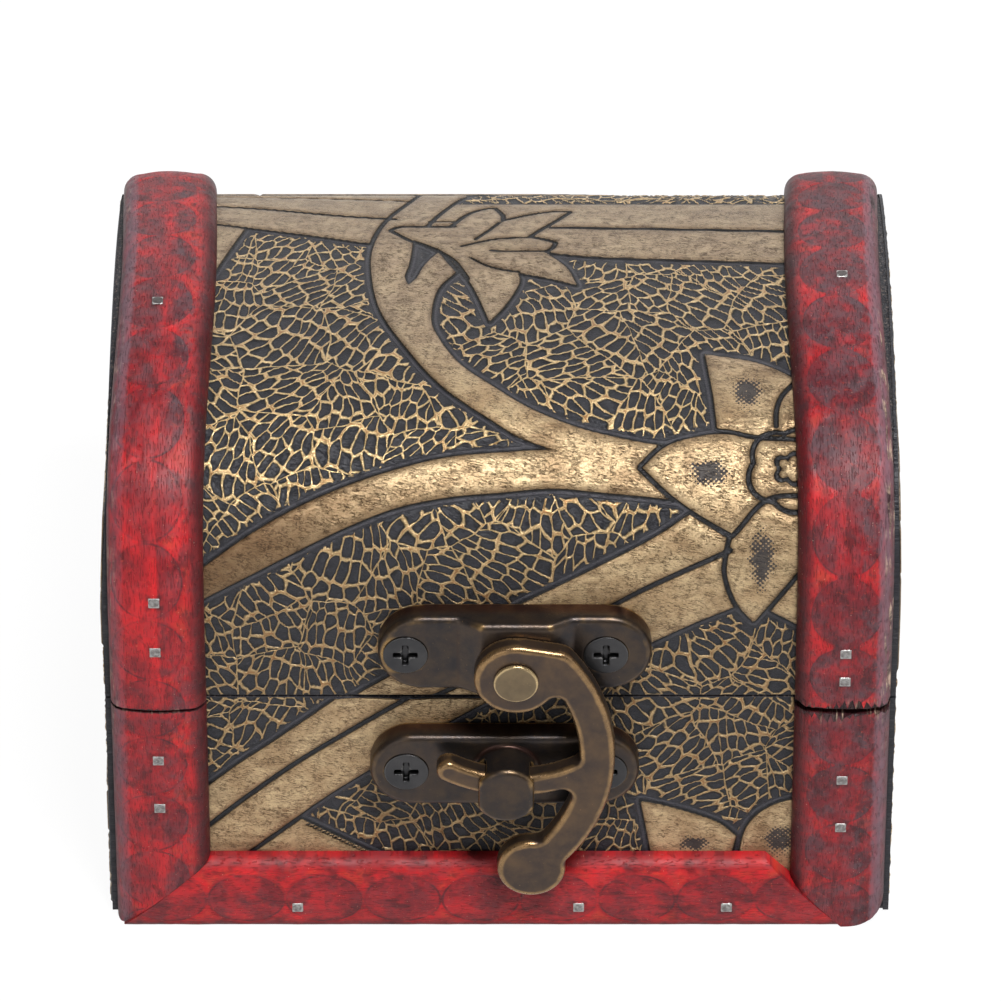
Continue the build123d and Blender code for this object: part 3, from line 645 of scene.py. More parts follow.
@dataclass(frozen=True)
class RawWood:
    """Bare pale board, seen inside and at the saw cut."""

    effects: SharedEffects
    name: str = "raw_wood"
    pale: tuple = colour(206, 172, 128)
    brown: tuple = colour(160, 120, 80)
    pore: tuple = colour(104, 72, 44)
    bump: float = 0.06  # height of the shading's bumps, in mm

    def material(self) -> bpy.types.Material:
        """Build the finish."""
        material, kit, shader = new_material(self.name)
        place = kit.add("ShaderNodeTexCoord").outputs["Object"]
        lengthwise = kit.turned(kit.scaled(place, (1 / MM, 1 / MM, 1 / MM)), math.radians(90))
        streaks, _ = kit.group(self.effects.grain, Place=lengthwise, Fineness=0.5, Pores=0.6)
        fine, pores = kit.group(self.effects.grain, Place=lengthwise, Fineness=2.4, Pores=0.7)
        tone = kit.coated(self.pale, self.brown, kit.ramp(streaks, 0.35, 0.65))
        tone = kit.coated(tone, self.brown, fine, 0.3)
        tone = kit.coated(tone, self.pore, pores, 0.6)
        kit.put(shader.inputs["Base Color"], tone)
        kit.put(shader.inputs["Roughness"], kit.times_plus(fine, 0.2, 0.6))
        height = kit.minus(fine, pores)
        kit.put(shader.inputs["Normal"], kit.bump(height, self.bump))
        return material


@dataclass(frozen=True)
class AgedMetal:
    """Blackened metal, rubbed bright where hands and edges have worn it."""

    effects: SharedEffects
    name: str
    body: tuple
    body_warm: tuple
    worn: tuple
    skirt: tuple
    amount: float  # how much of the edges is rubbed
    skirt_top: float = -FAR  # height above the covering, in mm, where the warm skirt ends; far below, none
    skirt_fade: float = 1.1  # and how far below that it is full
    rubbed: float = 0.0  # how much of the flat faces is rubbed
    metallic: float = 0.82
    roughness: float = 0.34
    patch: float = 3.4  # size of the body's uneven patches, in mm
    bump: float = 0.02  # height of the shading's bumps, in mm

    def material(self) -> bpy.types.Material:
        """Build the finish."""
        material, kit, shader = new_material(self.name)
        place = kit.stored("place", True)
        sharp = kit.stored("sharp")
        wear, = kit.group(self.effects.edge_wear, Place=place, Sharpness=sharp, Amount=self.amount, Size=2.2)
        patches, = kit.group(self.effects.mottle, Place=place, Size=self.patch, Share=0.5, Softness=0.2)
        moved = kit.shifted(place, (9.0, 4.0, 2.0))
        smudge, = kit.group(self.effects.mottle, Place=moved, Size=0.4 * self.patch, Share=0.5, Softness=0.2)
        specks, = kit.group(self.effects.specks, Place=place, Size=0.2, Share=0.16)
        tone = kit.coated(self.body, self.body_warm, patches)
        low = kit.ramp(kit.stored("lift"), self.skirt_top, self.skirt_top - self.skirt_fade)
        tone = kit.coated(tone, self.skirt, low, 0.8)
        tone = kit.coated(tone, self.worn, kit.times_plus(smudge, 0.06, self.rubbed))
        grubby = kit.times(wear, kit.times_plus(smudge, 0.4, 0.5))
        tone = kit.coated(tone, self.worn, grubby)
        hollow = kit.ramp(sharp, -0.12, -0.7, 0.0, 0.8)
        tone = kit.coated(tone, self.skirt, hollow)
        tone = kit.coated(tone, self.worn, specks, 0.4)
        kit.put(shader.inputs["Base Color"], tone)
        shader.inputs["Metallic"].default_value = self.metallic
        fine = kit.noise(place, 4.0, 4.0, 0.65)
        rough = kit.times_plus(kit.minus(fine, 0.5), 0.2, self.roughness)
        kit.put(shader.inputs["Roughness"], kit.minus(rough, kit.times(wear, 0.05)))
        kit.put(shader.inputs["Normal"], kit.bump(fine, self.bump))
        return material


def curve_through(points: tuple[Point, ...]) -> Array:
    """Draw a smooth curve through given points.

    Args:
        points: Places on the sheet, in order.

    Returns:
        Points along the curve, without the last one.
    """
    given = np.array(points, float)
    if len(given) < 3:
        return given[:-1]
    ends = np.vstack([2 * given[0] - given[1], given, 2 * given[-1] - given[-2]])
    pieces = []
    for a, b, c, d in zip(ends, ends[1:], ends[2:], ends[3:]):
        count = max(int(np.linalg.norm(c - b) / CURVE_STEP), 1)
        t = (np.arange(count) / count)[:, None]
        bend, twist = 2 * a - 5 * b + 4 * c - d, 3 * b - a - 3 * c + d
        pieces.append(0.5 * (2 * b + (c - a) * t + bend * t**2 + twist * t**3))
    return np.vstack(pieces)


def line_distance(x: Array, s: Array, line: Array) -> Array:
    """Measure from places on the sheet to a line of straight steps.

    Args:
        x: Places across the sheet.
        s: Places along the sheet.
        line: The line's points.

    Returns:
        The distances, no larger than NEAR.
    """
    result = np.full(x.shape, NEAR)
    low, high = line.min(0) - NEAR, line.max(0) + NEAR
    close = (x > low[0]) & (x < high[0]) & (s > low[1]) & (s < high[1])
    if not close.any():
        return result
    px, ps = x[close], s[close]
    best = np.full(px.shape, NEAR**2)
    for (ax, ay), (bx, by) in zip(line[:-1], line[1:]):
        dx, dy = bx - ax, by - ay
        share = np.clip(((px - ax) * dx + (ps - ay) * dy) / (dx * dx + dy * dy), 0, 1)
        best = np.minimum(best, (px - ax - share * dx) ** 2 + (ps - ay - share * dy) ** 2)
    result[close] = np.sqrt(best)
    return result


def inside(x: Array, s: Array, outline: Array) -> Array:
    """Tell which places lie inside a closed outline."""
    hit = np.zeros(x.shape, bool)
    for (ax, ay), (bx, by) in zip(outline, np.roll(outline, -1, 0)):
        if ay != by:
            crosses = (s < ay) != (s < by)
            hit ^= crosses & (x < ax + (s - ay) * (bx - ax) / (by - ay))
    return hit


@dataclass(frozen=True)
class Shape:
    """A raised shape on the sheet: smooth runs that meet in corners.

    Each run starts where the one before it ends, and that point isn't written again.
    """

    runs: tuple[tuple[Point, ...], ...]

    def distance(self, x: Array, s: Array) -> Array:
        """Give the distance to the outline, positive inside the shape."""
        starts = [run[-1] for run in (self.runs[-1], *self.runs)]
        outline = np.vstack([curve_through((start, *run)) for start, run in zip(starts, self.runs)])
        gap = line_distance(x, s, np.vstack([outline, outline[:1]]))
        return np.where(inside(x, s, outline), gap, -gap)


@dataclass(frozen=True)
class Groove:
    """A dark line pressed into the raised shapes."""

    points: tuple[Point, ...]
    width: float = 0.5

    def distance(self, x: Array, s: Array) -> Array:
        """Give the distance from the groove's edge, negative inside the groove."""
        line = np.vstack([curve_through(self.points), self.points[-1]])
        return line_distance(x, s, line) - self.width / 2


@dataclass(frozen=True)
class Flower:
    """The flower's middle: a ring with five scallops, and a small star in it."""

    centre: Point = (28.3, 52.7)
    ring: float = 3.7
    scallop: float = 0.672  # how far the ring swells between its scallops
    ring_turn: float = 0.4  # sets the scallops off from the star's points
    lobes: int = 5
    star: float = 1.35
    star_shape: Point = (0.75, 0.45)  # its notches' reach and its points' length, in shares
    groove: float = 0.55

    def distance(self, x: Array, s: Array) -> Array:
        """Give the distance from the nearest dark line, negative inside one."""
        dx, ds = x - self.centre[0], s - self.centre[1]
        reach, turn = np.hypot(dx, ds), np.arctan2(ds, dx)
        lobe = turn * self.lobes / 2
        ring = self.ring + self.scallop * np.abs(np.cos(lobe + self.ring_turn))
        notch, point = self.star_shape
        star = self.star * (notch + point * np.abs(np.cos(lobe)))
        return np.minimum(np.abs(reach - ring), np.abs(reach - star)) - self.groove / 2


@dataclass(frozen=True)
class Ornament:
    """A scroll, a flower, leaves and bands. Later shapes lie over earlier ones."""

    shapes: tuple[Shape, ...]
    grooves: tuple[Groove, ...]
    notches: tuple[Shape, ...] = ()
    stipples: tuple[tuple[float, float, float, float], ...] = ()  # x, s and the two half widths
    flower: Flower | None = None
    outline_gap: float = 0.5  # the dark line round a shape that lies over another
    margin: float = 0.8  # bare ground round every shape
    top: float = 98.4  # the pattern's end over the lid

    def measure(self, x: Array, s: Array) -> tuple[Array, Array, Array]:
        """Measure the pattern.

        Args:
            x: Places across the sheet.
            s: Places along the sheet.

        Returns:
            Distance inside the raised faces, inside the crackled ground and inside the stippled patches.
        """
        face = np.full(x.shape, -FAR)
        solid = np.full(x.shape, -FAR)
        for shape in self.shapes:
            own = shape.distance(x, s)
            face = np.maximum(own, np.minimum(face, -own - self.outline_gap))
            solid = np.maximum(solid, own)
        for groove in self.grooves:
            face = np.minimum(face, groove.distance(x, s))
        for notch in self.notches:
            face = np.minimum(face, -notch.distance(x, s))
        if self.flower:
            face = np.minimum(face, self.flower.distance(x, s))
        face = np.minimum(face, self.top - s)
        solid = np.minimum(solid, self.top - s)
        dots = np.full(x.shape, -1.0)
        for middle_x, middle_s, half_x, half_s in self.stipples:
            reach = np.hypot((x - middle_x) / half_x, (s - middle_s) / half_s)
            dots = np.maximum(dots, np.clip(1.0 - reach, -1.0, 0.6))
        return face, -solid - self.margin, dots


LID_ORNAMENT = Ornament(
    shapes=(
        # Band at the upper left, and the small face below it
        Shape((
            ((-6, 100),), ((-8, 84),), ((-13, 84.4), (-18.5, 86), (-25.5, 88), (-31, 89.7)),
            ((-31, 100),),
        )),
        Shape((
            ((-28.5, 88.4), (-25.6, 87.6)), ((-27, 83), (-28.5, 78.5), (-31, 72)), ((-31, 88.8),),
        )),
        # Band at the upper right
        Shape((
            ((31, 94.25),), ((31, 80.3),), ((26.5, 80.6), (20, 81), (10, 81.6), (5.1, 82.4)), ((-9, 86),),
            ((-9, 94.25),),
        )),
        # Band below the flower, from the cut up to the right
        Shape((
            ((-11.1, 29.8), (-4, 34.8), (1, 38.2), (5, 40.5), (10, 43.2), (14.8, 45.8), (18.4, 48.2)),
            ((22.1, 45.8),), ((22.2, 42), (23.1, 38.6)), ((19.1, 36.6), (14.9, 34.2), (7, 29.8),
            (0, 26.3)), ((-16, 26.3),),
        )),
        Shape((
            ((28.8, 41.7), (26.4, 38)), ((29.1, 36.3), (31, 35.2)), ((31, 44.4),),
        )),
        # Stem and branch
        Shape((
            ((-8.75, 95.5), (-11.25, 89.5), (-12.6, 84.25), (-12.9, 79.5), (-12, 72.75), (-9.25, 67),
            (-5.5, 61.75), (0.25, 57), (2.6, 55.6), (5.1, 54.7)), ((1, 54.45), (-5, 53.9), (-10.1, 52.65),
            (-15.2, 50.9), (-20.3, 48.6), (-25, 45.8), (-29, 42.85), (-31, 41.3)), ((-31, 37.9),),
            ((-29, 39.4), (-25, 41.7), (-20.3, 44.25), (-15.2, 46.8), (-10.1, 48.8), (-5, 49.85),
            (0, 50.3), (5, 50.7), (10, 50.3), (16.6, 49.6), (19.5, 48.8)), ((19.5, 55.6),), ((16.5, 55.1),
            (13, 55.6), (7.75, 57), (3, 59.25), (-1, 62.25), (-4.25, 65.25), (-6.5, 69.5), (-6.75, 72.5),
            (-6.1, 76), (-4.4, 78.75)), ((-4.9, 83),), ((-7.75, 87.75),), ((-6.5, 91), (-4.5, 95.5),
            (-2.6, 100)), ((-7.6, 100),),
        )),
        # Leaves
        Shape((
            ((-7.75, 87.9), (-9.75, 87.9), (-10.75, 87.25)), ((-8.75, 85), (-6, 83), (-4.75, 80.5),
            (-2.9, 76.6), (-1.1, 70.75)), ((0.5, 73.25), (1.9, 76.9), (1.7, 78.75)), ((3.5, 78.1),
            (5, 77.6), (7.6, 76.5)), ((6.5, 79.75), (4.25, 82.75)), ((5, 83.5), (5.25, 84.4)), ((4, 85.1),
            (2.5, 85.6)), ((4, 87.75), (5.4, 89.7), (6.75, 92)), ((5.25, 91.9), (3, 91), (0, 89.25)),
            ((0, 91), (-0.75, 93)), ((-1.75, 92.5), (-3.2, 91), (-4.9, 87.75)),
        )),
        # Petals round the flower's middle
        Shape((
            ((23.2, 38.7), (22.2, 41.45), (22.1, 43.5), (23, 47.05), (25.5, 50)), ((31, 50),),
            ((31, 45.4),), ((28.8, 42.2), (27.3, 40.2), (24.75, 36.6)),
        )),
        Shape((
            ((20.75, 61), (21.1, 57)), ((24.75, 55.75), (31, 55.5)), ((31, 61),), ((28.5, 63.2),
            (25, 65.1), (20.05, 66.2)),
        )),
        Shape((
            ((16.3, 55.1), (19.9, 56.2), (22.3, 56.3), (25, 55.7), (31, 55.4)), ((31, 50.2),),
            ((26, 49.9), (22.5, 46.3)), ((19.4, 48.1), (16.6, 50.1), (13.8, 52.8)),
        )),
    ),
    grooves=(
        Groove(((-31, 94), (-24.5, 93), (-16.5, 91), (-10.6, 90)), 0.55),
        Groove(((-31, 97.3), (-20, 96.6), (-9, 95.4)), 0.4),
        Groove(((5.1, 87.9), (15, 87.6), (31, 86.9)), 0.6),
        Groove(((-7.4, 88.2), (-4.6, 88.2)), 0.5),
        Groove(((-9.6, 25.8), (-5, 28.3), (3, 33.3), (11.2, 38.8), (15.8, 41.45), (22.4, 44.6)), 0.55),
        Groove(((-7.1, 89.4), (-4.5, 89.4)), 0.45),
        Groove(((-0.1, 89.2), (-1, 87.5), (-2.5, 85.2)), 0.4),
        Groove(((-3.9, 83.75), (-1, 85.1), (1, 85.5), (2.6, 85.6)), 0.38),
        Groove(((-3, 81.5), (-1.75, 80.25), (-0.3, 79.4), (1.8, 78.8)), 0.36),
        Groove(((-1, 82.9), (1, 82.75), (4.4, 82.8)), 0.38),
        Groove(((28.9, 62.6), (27.5, 60.75), (26.95, 59), (26.9, 57.2)), 0.5),
        Groove(((-8.75, 84.9), (-7.4, 83.9), (-6.1, 82.7), (-4.6, 80.9), (-3.2, 77.6)), 0.4),
    ),
    notches=(
        Shape((
            ((-8.85, 82.5), (-9.1, 80), (-9.5, 78), (-9.15, 76.6)), ((-8.4, 77.6), (-7.7, 79.7),
            (-6.9, 81.4), (-6.1, 82.6)), ((-7.4, 83.8), (-8.75, 84.9)),
        )),
    ),
    stipples=(
        (24.1, 61.25, 1.5, 2.0), (20.4, 52.3, 2.1, 1.4), (25.5, 43.75, 1.3, 3.0),
    ),
    flower=Flower(),
)

BOX_ORNAMENT = Ornament(
    shapes=(
        Shape((
            ((-26.4, 18.5), (-22.85, 21.4), (-18.5, 25.1), (-14.5, 28.6)), ((1.5, 28.6),), ((-3.2, 25.5),
            (-7, 22.8), (-13.2, 18), (-17.75, 14.4), (-24.5, 8.3), (-29, 4)), ((-31, 4),), ((-31, 14.2),),
        )),
        Shape((
            ((-25.5, 6.8),), ((-11.5, 6.8),), ((-19.8, 11.9),),
        )),
        Shape((
            ((14.5, 10.6), (15.4, 5)), ((22.6, 5),), ((23.2, 8.2), (23.5, 9.7)), ((21.4, 11.6),
            (16.9, 13.4), (13.9, 14.2)),
        )),
        Shape((
            ((23.9, 8.3), (24.75, 11.4), (27.05, 13.65), (31, 15)), ((31, 5),), ((23.9, 5),),
        )),
    ),
    grooves=(
        Groove(((-31, 9.2), (-25.4, 14.55), (-20.3, 19), (-15.2, 22.85), (-7.5, 28.4)), 0.55),
        Groove(((-19.3, 11.2), (-12.9, 7.2)), 0.25),
    ),
    stipples=((19.3, 8.8, 1.6, 1.0), (27.8, 9.3, 1.5, 1.9)),
)


@dataclass(frozen=True)
class Arch:
    """The chest's end view, unrolled: s runs up the front, over the lid and down the back."""

    face: float = 29.6  # the covering's front and back, from the middle
    spring: float = 37.6  # where the wall starts to bend
    shoulder: float = 17.1  # radius of the bend from the wall to the crown
    turn: float = math.radians(72)  # how far that bend turns

    @property
    def crown(self) -> float:
        """Radius of the crown."""
        return self.shoulder + (self.face - self.shoulder) / math.cos(self.turn)

    @property
    def crown_height(self) -> float:
        """Height of the crown's centre."""
        return self.spring - (self.crown - self.shoulder) * math.sin(self.turn)

    @property
    def middle(self) -> float:
        """The sheet place at the top of the crown."""
        return self.spring + self.shoulder * self.turn + self.crown * (math.pi / 2 - self.turn)

    def place(self, s: Array) -> tuple[Array, Array, Array, Array]:
        """Find where sheet places lie.

        Args:
            s: Places along the sheet.

        Returns:
            Depth and height, and the outward direction's depth and height.
        """
        behind = s > self.middle
        near = np.where(behind, 2 * self.middle - s, s)
        bend_end = self.spring + self.shoulder * self.turn
        bend = np.clip((near - self.spring) / self.shoulder, 0, self.turn)
        angle = bend + np.clip((near - bend_end) / self.crown, 0, None)
        on_crown = near > bend_end
        radius = np.where(on_crown, self.crown, self.shoulder)
        y = np.where(on_crown, 0, self.shoulder - self.face) - radius * np.cos(angle)
        z = np.where(on_crown, self.crown_height, self.spring) + radius * np.sin(angle)
        z = np.where(near < self.spring, near, z)
        out_y, out_z = -np.cos(angle), np.sin(angle)
        return np.where(behind, -y, y), z, np.where(behind, -out_y, out_y), out_z

    def top(self, y: Array) -> Array:
        """Give the outline's height over depths, for the covering of an end."""
        reach = np.clip(np.abs(y), 0, self.face)
        bend_y = self.crown * math.cos(self.turn)
        crown = self.crown_height + np.sqrt(np.maximum(self.crown**2 - reach**2, 0))
        inner = np.clip(reach - self.face + self.shoulder, 0, self.shoulder)
        shoulder = self.spring + np.sqrt(self.shoulder**2 - inner**2)
        return np.where(reach < bend_y, crown, shoulder)


def link_object(name: str, data: bpy.types.ID) -> bpy.types.Object:
    """Put a mesh, a lamp or a camera into the scene."""
    made = bpy.data.objects.new(name, data)
    bpy.context.scene.collection.objects.link(made)
    return made


def keep_values(mesh: bpy.types.Mesh, kept: dict[str, Array]) -> None:
    """Keep values at the points of a mesh, one number or three each."""
    for label, values in kept.items():
        vector = values.ndim == 2
        layer = mesh.attributes.new(label, "FLOAT_VECTOR" if vector else "FLOAT", "POINT")
        layer.data.foreach_set("vector" if vector else "value", values.astype(np.float32).ravel())


def read_rows(items: bpy.types.bpy_prop_collection, label: str, width: int, kind: type = float) -> Array:
    """Read a value of every point or edge of a mesh.

    Args:
        items: The mesh's points or edges.
        label: What to read of each.
        width: How many numbers it has.
        kind: Their type.

    Returns:
        One row for each item.
    """
    values = np.empty(len(items) * width, kind)
    items.foreach_get(label, values)
    return values.reshape(-1, width)


def make_piece(name: str, points: Array, faces: list[tuple[int, ...]], **kept: Array) -> bpy.types.Object:
    """Make an object from points in millimetres.

    Args:
        name: The piece's name.
        points: One row for each point.
        faces: Point numbers of each face.
        **kept: Values to keep at the points, one number or three each.

    Returns:
        The new object.
    """
    mesh = bpy.data.meshes.new(name)
    mesh.from_pydata((points * MM).tolist(), [], faces)
    keep_values(mesh, kept)
    mesh.update()
    return link_object(name, mesh)


def quads(*corners: Array) -> list[tuple[int, ...]]:
    """Join four grids of point numbers to faces."""
    return [tuple(face) for face in np.stack(corners, -1).reshape(-1, 4).tolist()]


def loft_faces(rows: int, count: int) -> list[tuple[int, ...]]:
    """Join closed sections, one row each, and cap both ends.

    Args:
        rows: How many sections there are.
        count: Points in each.

    Returns:
        The faces' point numbers.
    """
    numbers = np.arange(rows * count).reshape(rows, count)
    after = np.roll(numbers, -1, 1)
    faces = quads(numbers[:-1], after[:-1], after[1:], numbers[1:])
    faces.append(tuple(numbers[0][::-1].tolist()))
    faces.append(tuple(numbers[-1].tolist()))
    return faces


def emboss(piece: bpy.types.Object, height: Callable[[Nodes], Socket]) -> None:
    """Move the points of a piece along their kept outward direction, and keep the result.

    Args:
        piece: The piece, whose points keep a vector named out.
        height: Adds nodes that give the distance, in millimetres.
    """
    tree = bpy.data.node_groups.new(piece.name + "_relief", "GeometryNodeTree")
    tree.interface.new_socket(name="Geometry", in_out="INPUT", socket_type="NodeSocketGeometry")
    tree.interface.new_socket(name="Geometry", in_out="OUTPUT", socket_type="NodeSocketGeometry")
    kit = Nodes(tree)
    scale = {0: kit.stored("out", True), "Scale": kit.times(height(kit), MM)}
    offset = kit.fill("ShaderNodeVectorMath", scale, operation="SCALE").outputs[0]
    given = kit.add("NodeGroupInput").outputs[0]
    moved = kit.fill("GeometryNodeSetPosition", {"Geometry": given, "Offset": offset})
    kit.fill("NodeGroupOutput", {0: moved.outputs[0]})
    modifier = piece.modifiers.new("relief", "NODES")
    modifier.node_group = tree
    keep_result(piece)


def keep_result(piece: bpy.types.Object) -> None:
    """Replace a piece's mesh with what its modifiers make of it."""
    bpy.context.view_layer.update()
    seen = piece.evaluated_get(bpy.context.evaluated_depsgraph_get())
    mesh = bpy.data.meshes.new_from_object(seen)
    old = piece.data
    piece.modifiers.clear()
    piece.data = mesh
    bpy.data.meshes.remove(old)


def finish_piece(
    piece: bpy.types.Object, material: bpy.types.Material, body: str, nodes: tuple[str, ...],
    crease: float = 50.0,
) -> None:
    """Dress a piece, let it ride on its body and stand for its nodes.

    Args:
        piece: The piece.
        material: Its finish.
        body: The body that carries it.
        nodes: The nodes that it stands for.
        crease: Edges sharper than this angle stay sharp, in degrees.
    """
    piece.data.materials.clear()
    piece.data.materials.append(material)
    if "out" in piece.data.attributes:
        piece.data.attributes.remove(piece.data.attributes["out"])
    piece.data.shade_smooth()
    piece.data.set_sharp_from_angle(angle=math.radians(crease))
    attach(piece, body)
    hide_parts(*nodes)
    log.info("%s: %d faces on %s", piece.name, len(piece.data.polygons), body)


class Side(Enum):
    """Which way a face of the chest looks."""

    FRONT = -1
    BACK = 1


class End(Enum):
    """Which end of the chest."""

    LEFT = -1
    RIGHT = 1


def by_end(left: object, right: object) -> dict[End, object]:
    """Let a size have its own value at each end."""
    return field(default_factory=lambda: {End.LEFT: left, End.RIGHT: right})


@dataclass
class Covering:
    """The embossed leathercloth on the box and the lid."""

    finish: Leathercloth
    arch: Arch
    half_width: float = 38.35  # the boards' ends
    strip_inner: float = 28.95  # from the middle to a strip's inner side
    strip_cover: float = 0.1  # further under a strip than this the covering lies flat
    thickness: float = 0.8
    foot: float = 0.3
    bare_rim: float = 0.6  # dark edge round the covering of an end
    box_rim: float = 27.3
    lid_rim: float = 27.5
    fine_step: float = 0.238  # between points where the covering shows at the front
    side_step: float = 0.36  # on the ends and the back
    lean_heights: Point = (38.0, 56.0)  # the lid's ends lean inward between these
    lean: dict[End, float] = by_end(0.7, 0.3)
    pattern_end: float = 97.0  # the fine stretch of the lid ends here
    back_rows: int = 62  # rows of points beyond it
    tuck: float = 0.4  # the fine stretch across ends this far under a strip
    corner_walk: float = 4.0  # gives the corners of an arched end their own points
    arch_points: int = 20  # points that an arched end has more than a straight one
    back_seam: float = 0.9  # the dark line where the pattern starts again behind the lid
    end_shift: float = 47.0  # the ends show the sheet from this place up

    def __post_init__(self) -> None:
        """Build the finish."""
        self.material = self.finish.material()
        self.slot = self.finish.name

    def across(self, step: float) -> Array:
        """Give places across the front or back: close together between the strips, wide under them."""
        hidden = np.linspace(-self.half_width, -self.strip_inner - self.tuck, 3)
        count = round(2 * self.strip_inner / step)
        shown = np.linspace(-self.strip_inner, self.strip_inner, count)
        return np.concatenate([hidden, shown, -hidden[::-1]])

    @staticmethod
    def places(start: float, end: float, step: float) -> Array:
        """Give places from one to another, about a step apart."""
        return np.linspace(start, end, round(abs(end - start) / step))

    def pattern(self, x: Array, s: Array, behind: bool) -> tuple[Array, Array, Array]:
        """Measure the ornament of the whole sheet.

        Args:
            x: Places across the sheet.
            s: Places along the sheet.
            behind: Whether the lid's back is among them.

        Returns:
            The raised faces, the crackled ground and the stippled patches.
        """
        cut = (self.box_rim + self.lid_rim) / 2
        low, high = BOX_ORNAMENT.measure(x, s), LID_ORNAMENT.measure(x, s)
        chosen = [np.where(s < cut, a, b) for a, b in zip(low, high)]
        if behind:
            face, ground, dots = LID_ORNAMENT.measure(-x, 2 * self.arch.middle - s)
            start = s - LID_ORNAMENT.top - self.back_seam
            mirrored = (np.minimum(face, start), ground, dots)
            chosen = [np.where(start > -self.back_seam / 2, b, a) for a, b in zip(chosen, mirrored)]
        return tuple(chosen)

    def keep_pattern(self, x: Array, s: Array, behind: bool = False) -> dict[str, Array]:
        """Give the values that the covering's points keep for its relief and its finish."""
        face, ground, dots = self.pattern(x, s, behind)
        return {
            "sheet": np.stack([x, s, np.zeros(x.shape)], -1),
            "plateau": np.clip(face, -1, 2),
            "field": np.clip(ground, -2, 2),
            "stipple": dots,
        }

    def build_panel(self, name: str, body: str, side: Side, s: Array, step: float) -> None:
        """Build a covering that lies along the front or back, or over the lid.

        Args:
            name: The node that it stands for.
            body: The body that carries it.
            side: The face that it lies on.
            s: Places of its rows along the sheet.
            step: Spacing across.
        """
        x = self.across(step)
        wide = np.tile(x, (len(s), 1))
        tall = np.tile(s[:, None], (1, len(x)))
        y, z, out_y, out_z = self.arch.place(tall)
        sheet_x, sheet_s = wide, tall
        if side is Side.BACK:
            sheet_s = 2 * self.arch.middle - tall
            sheet_x = -wide
        outer = np.stack([wide, y, z], -1)
        direction = np.stack([np.zeros(y.shape), out_y, out_z], -1)
        inner = outer - direction * self.thickness
        rows = np.concatenate([outer, inner[:, -1:], inner[:, :1]], 1)
        kept = self.keep_pattern(sheet_x, sheet_s, behind=name.startswith("lid"))
        kept["out"] = direction
        for label, values in kept.items():
            ends = np.concatenate([values[:, -1:], values[:, :1]], 1)
            if label == "out":
                ends = np.zeros_like(ends)
            full = np.concatenate([values, ends], 1)
            if label in ("plateau", "field"):
                full[0] = full[-1] = -1.0
                full[:, np.abs(rows[0, :, 0]) > self.strip_inner + self.strip_cover] = -1.0
            kept[label] = full.reshape(-1, 3) if full.ndim == 3 else full.ravel()
        faces = loft_faces(*rows.shape[:2])
        piece = make_piece(name + "_cloth", rows.reshape(-1, 3), faces, **kept)
        emboss(piece, self.finish.relief.height)
        finish_piece(piece, self.material, body, (name,))

    def build_end(self, name: str, body: str, end: End, low: float, arched: bool) -> None:
        """Build a covering on one end of the box or the lid.

        Args:
            name: The node that it stands for.
            body: The body that carries it.
            end: The end that it lies on.
            low: Its lower edge.
            arched: Whether its top follows the arch.
        """
        face = self.arch.face
        count = round(2 * face / self.side_step)
        if arched:
            walk = np.linspace(-face - self.corner_walk, face + self.corner_walk, 4 * count)
            y = np.clip(walk, -face, face)
            length = np.concatenate([[0], np.cumsum(np.hypot(np.diff(y), np.diff(self.arch.top(y))))])
            y = np.interp(np.linspace(0, length[-1], count + self.arch_points), length, y)
        else:
            y = np.linspace(-face, face, count)
        y = y * end.value
        high = self.arch.top(y) if arched else np.full(y.shape, self.box_rim)
        rows = round((high.max() - low) / self.side_step)
        z = low + np.linspace(0, 1, rows)[:, None] * (high - low)[None]
        y = np.tile(y, (rows, 1))
        aloft = np.interp(z, self.lean_heights, (0.0, 1.0))
        x = end.value * (self.half_width + self.thickness - self.lean[end] * aloft)
        grid = np.stack([x, y, z], -1)
        kept = self.keep_pattern(y * end.value, z + self.end_shift)
        to_rim = np.minimum(np.minimum(z - low, high[None] - z), face - np.abs(y))
        for label in ("plateau", "field"):
            kept[label] = np.minimum(kept[label], to_rim - self.bare_rim)
        kept["out"] = np.tile([float(end.value), 0.0, 0.0], (*y.shape, 1))
        columns = y.shape[1]
        numbers = np.arange(rows * columns).reshape(rows, columns)
        ring = np.concatenate([numbers[0, :-1], numbers[:-1, -1], numbers[-1, :0:-1], numbers[:0:-1, 0]])
        points = grid.reshape(-1, 3)
        back = points[ring]
        back[:, 0] = end.value * self.half_width
        faces = quads(numbers[:-1, :-1], numbers[:-1, 1:], numbers[1:, 1:], numbers[1:, :-1])
        first = len(points)
        for i, number in enumerate(ring):
            after = (i + 1) % len(ring)
            faces.append((int(ring[after]), int(number), first + i, first + after))
        faces.append(tuple(range(first + len(ring) - 1, first - 1, -1)))
        for label, values in kept.items():
            flat = values.reshape(-1, 3) if values.ndim == 3 else values.ravel()
            rim = np.zeros_like(flat[ring]) if label == "out" else flat[ring]
            kept[label] = np.concatenate([flat, rim])
        piece = make_piece(name + "_cloth", np.concatenate([points, back]), faces, **kept)
        emboss(piece, self.finish.relief.height)
        finish_piece(piece, self.material, body, (name,))

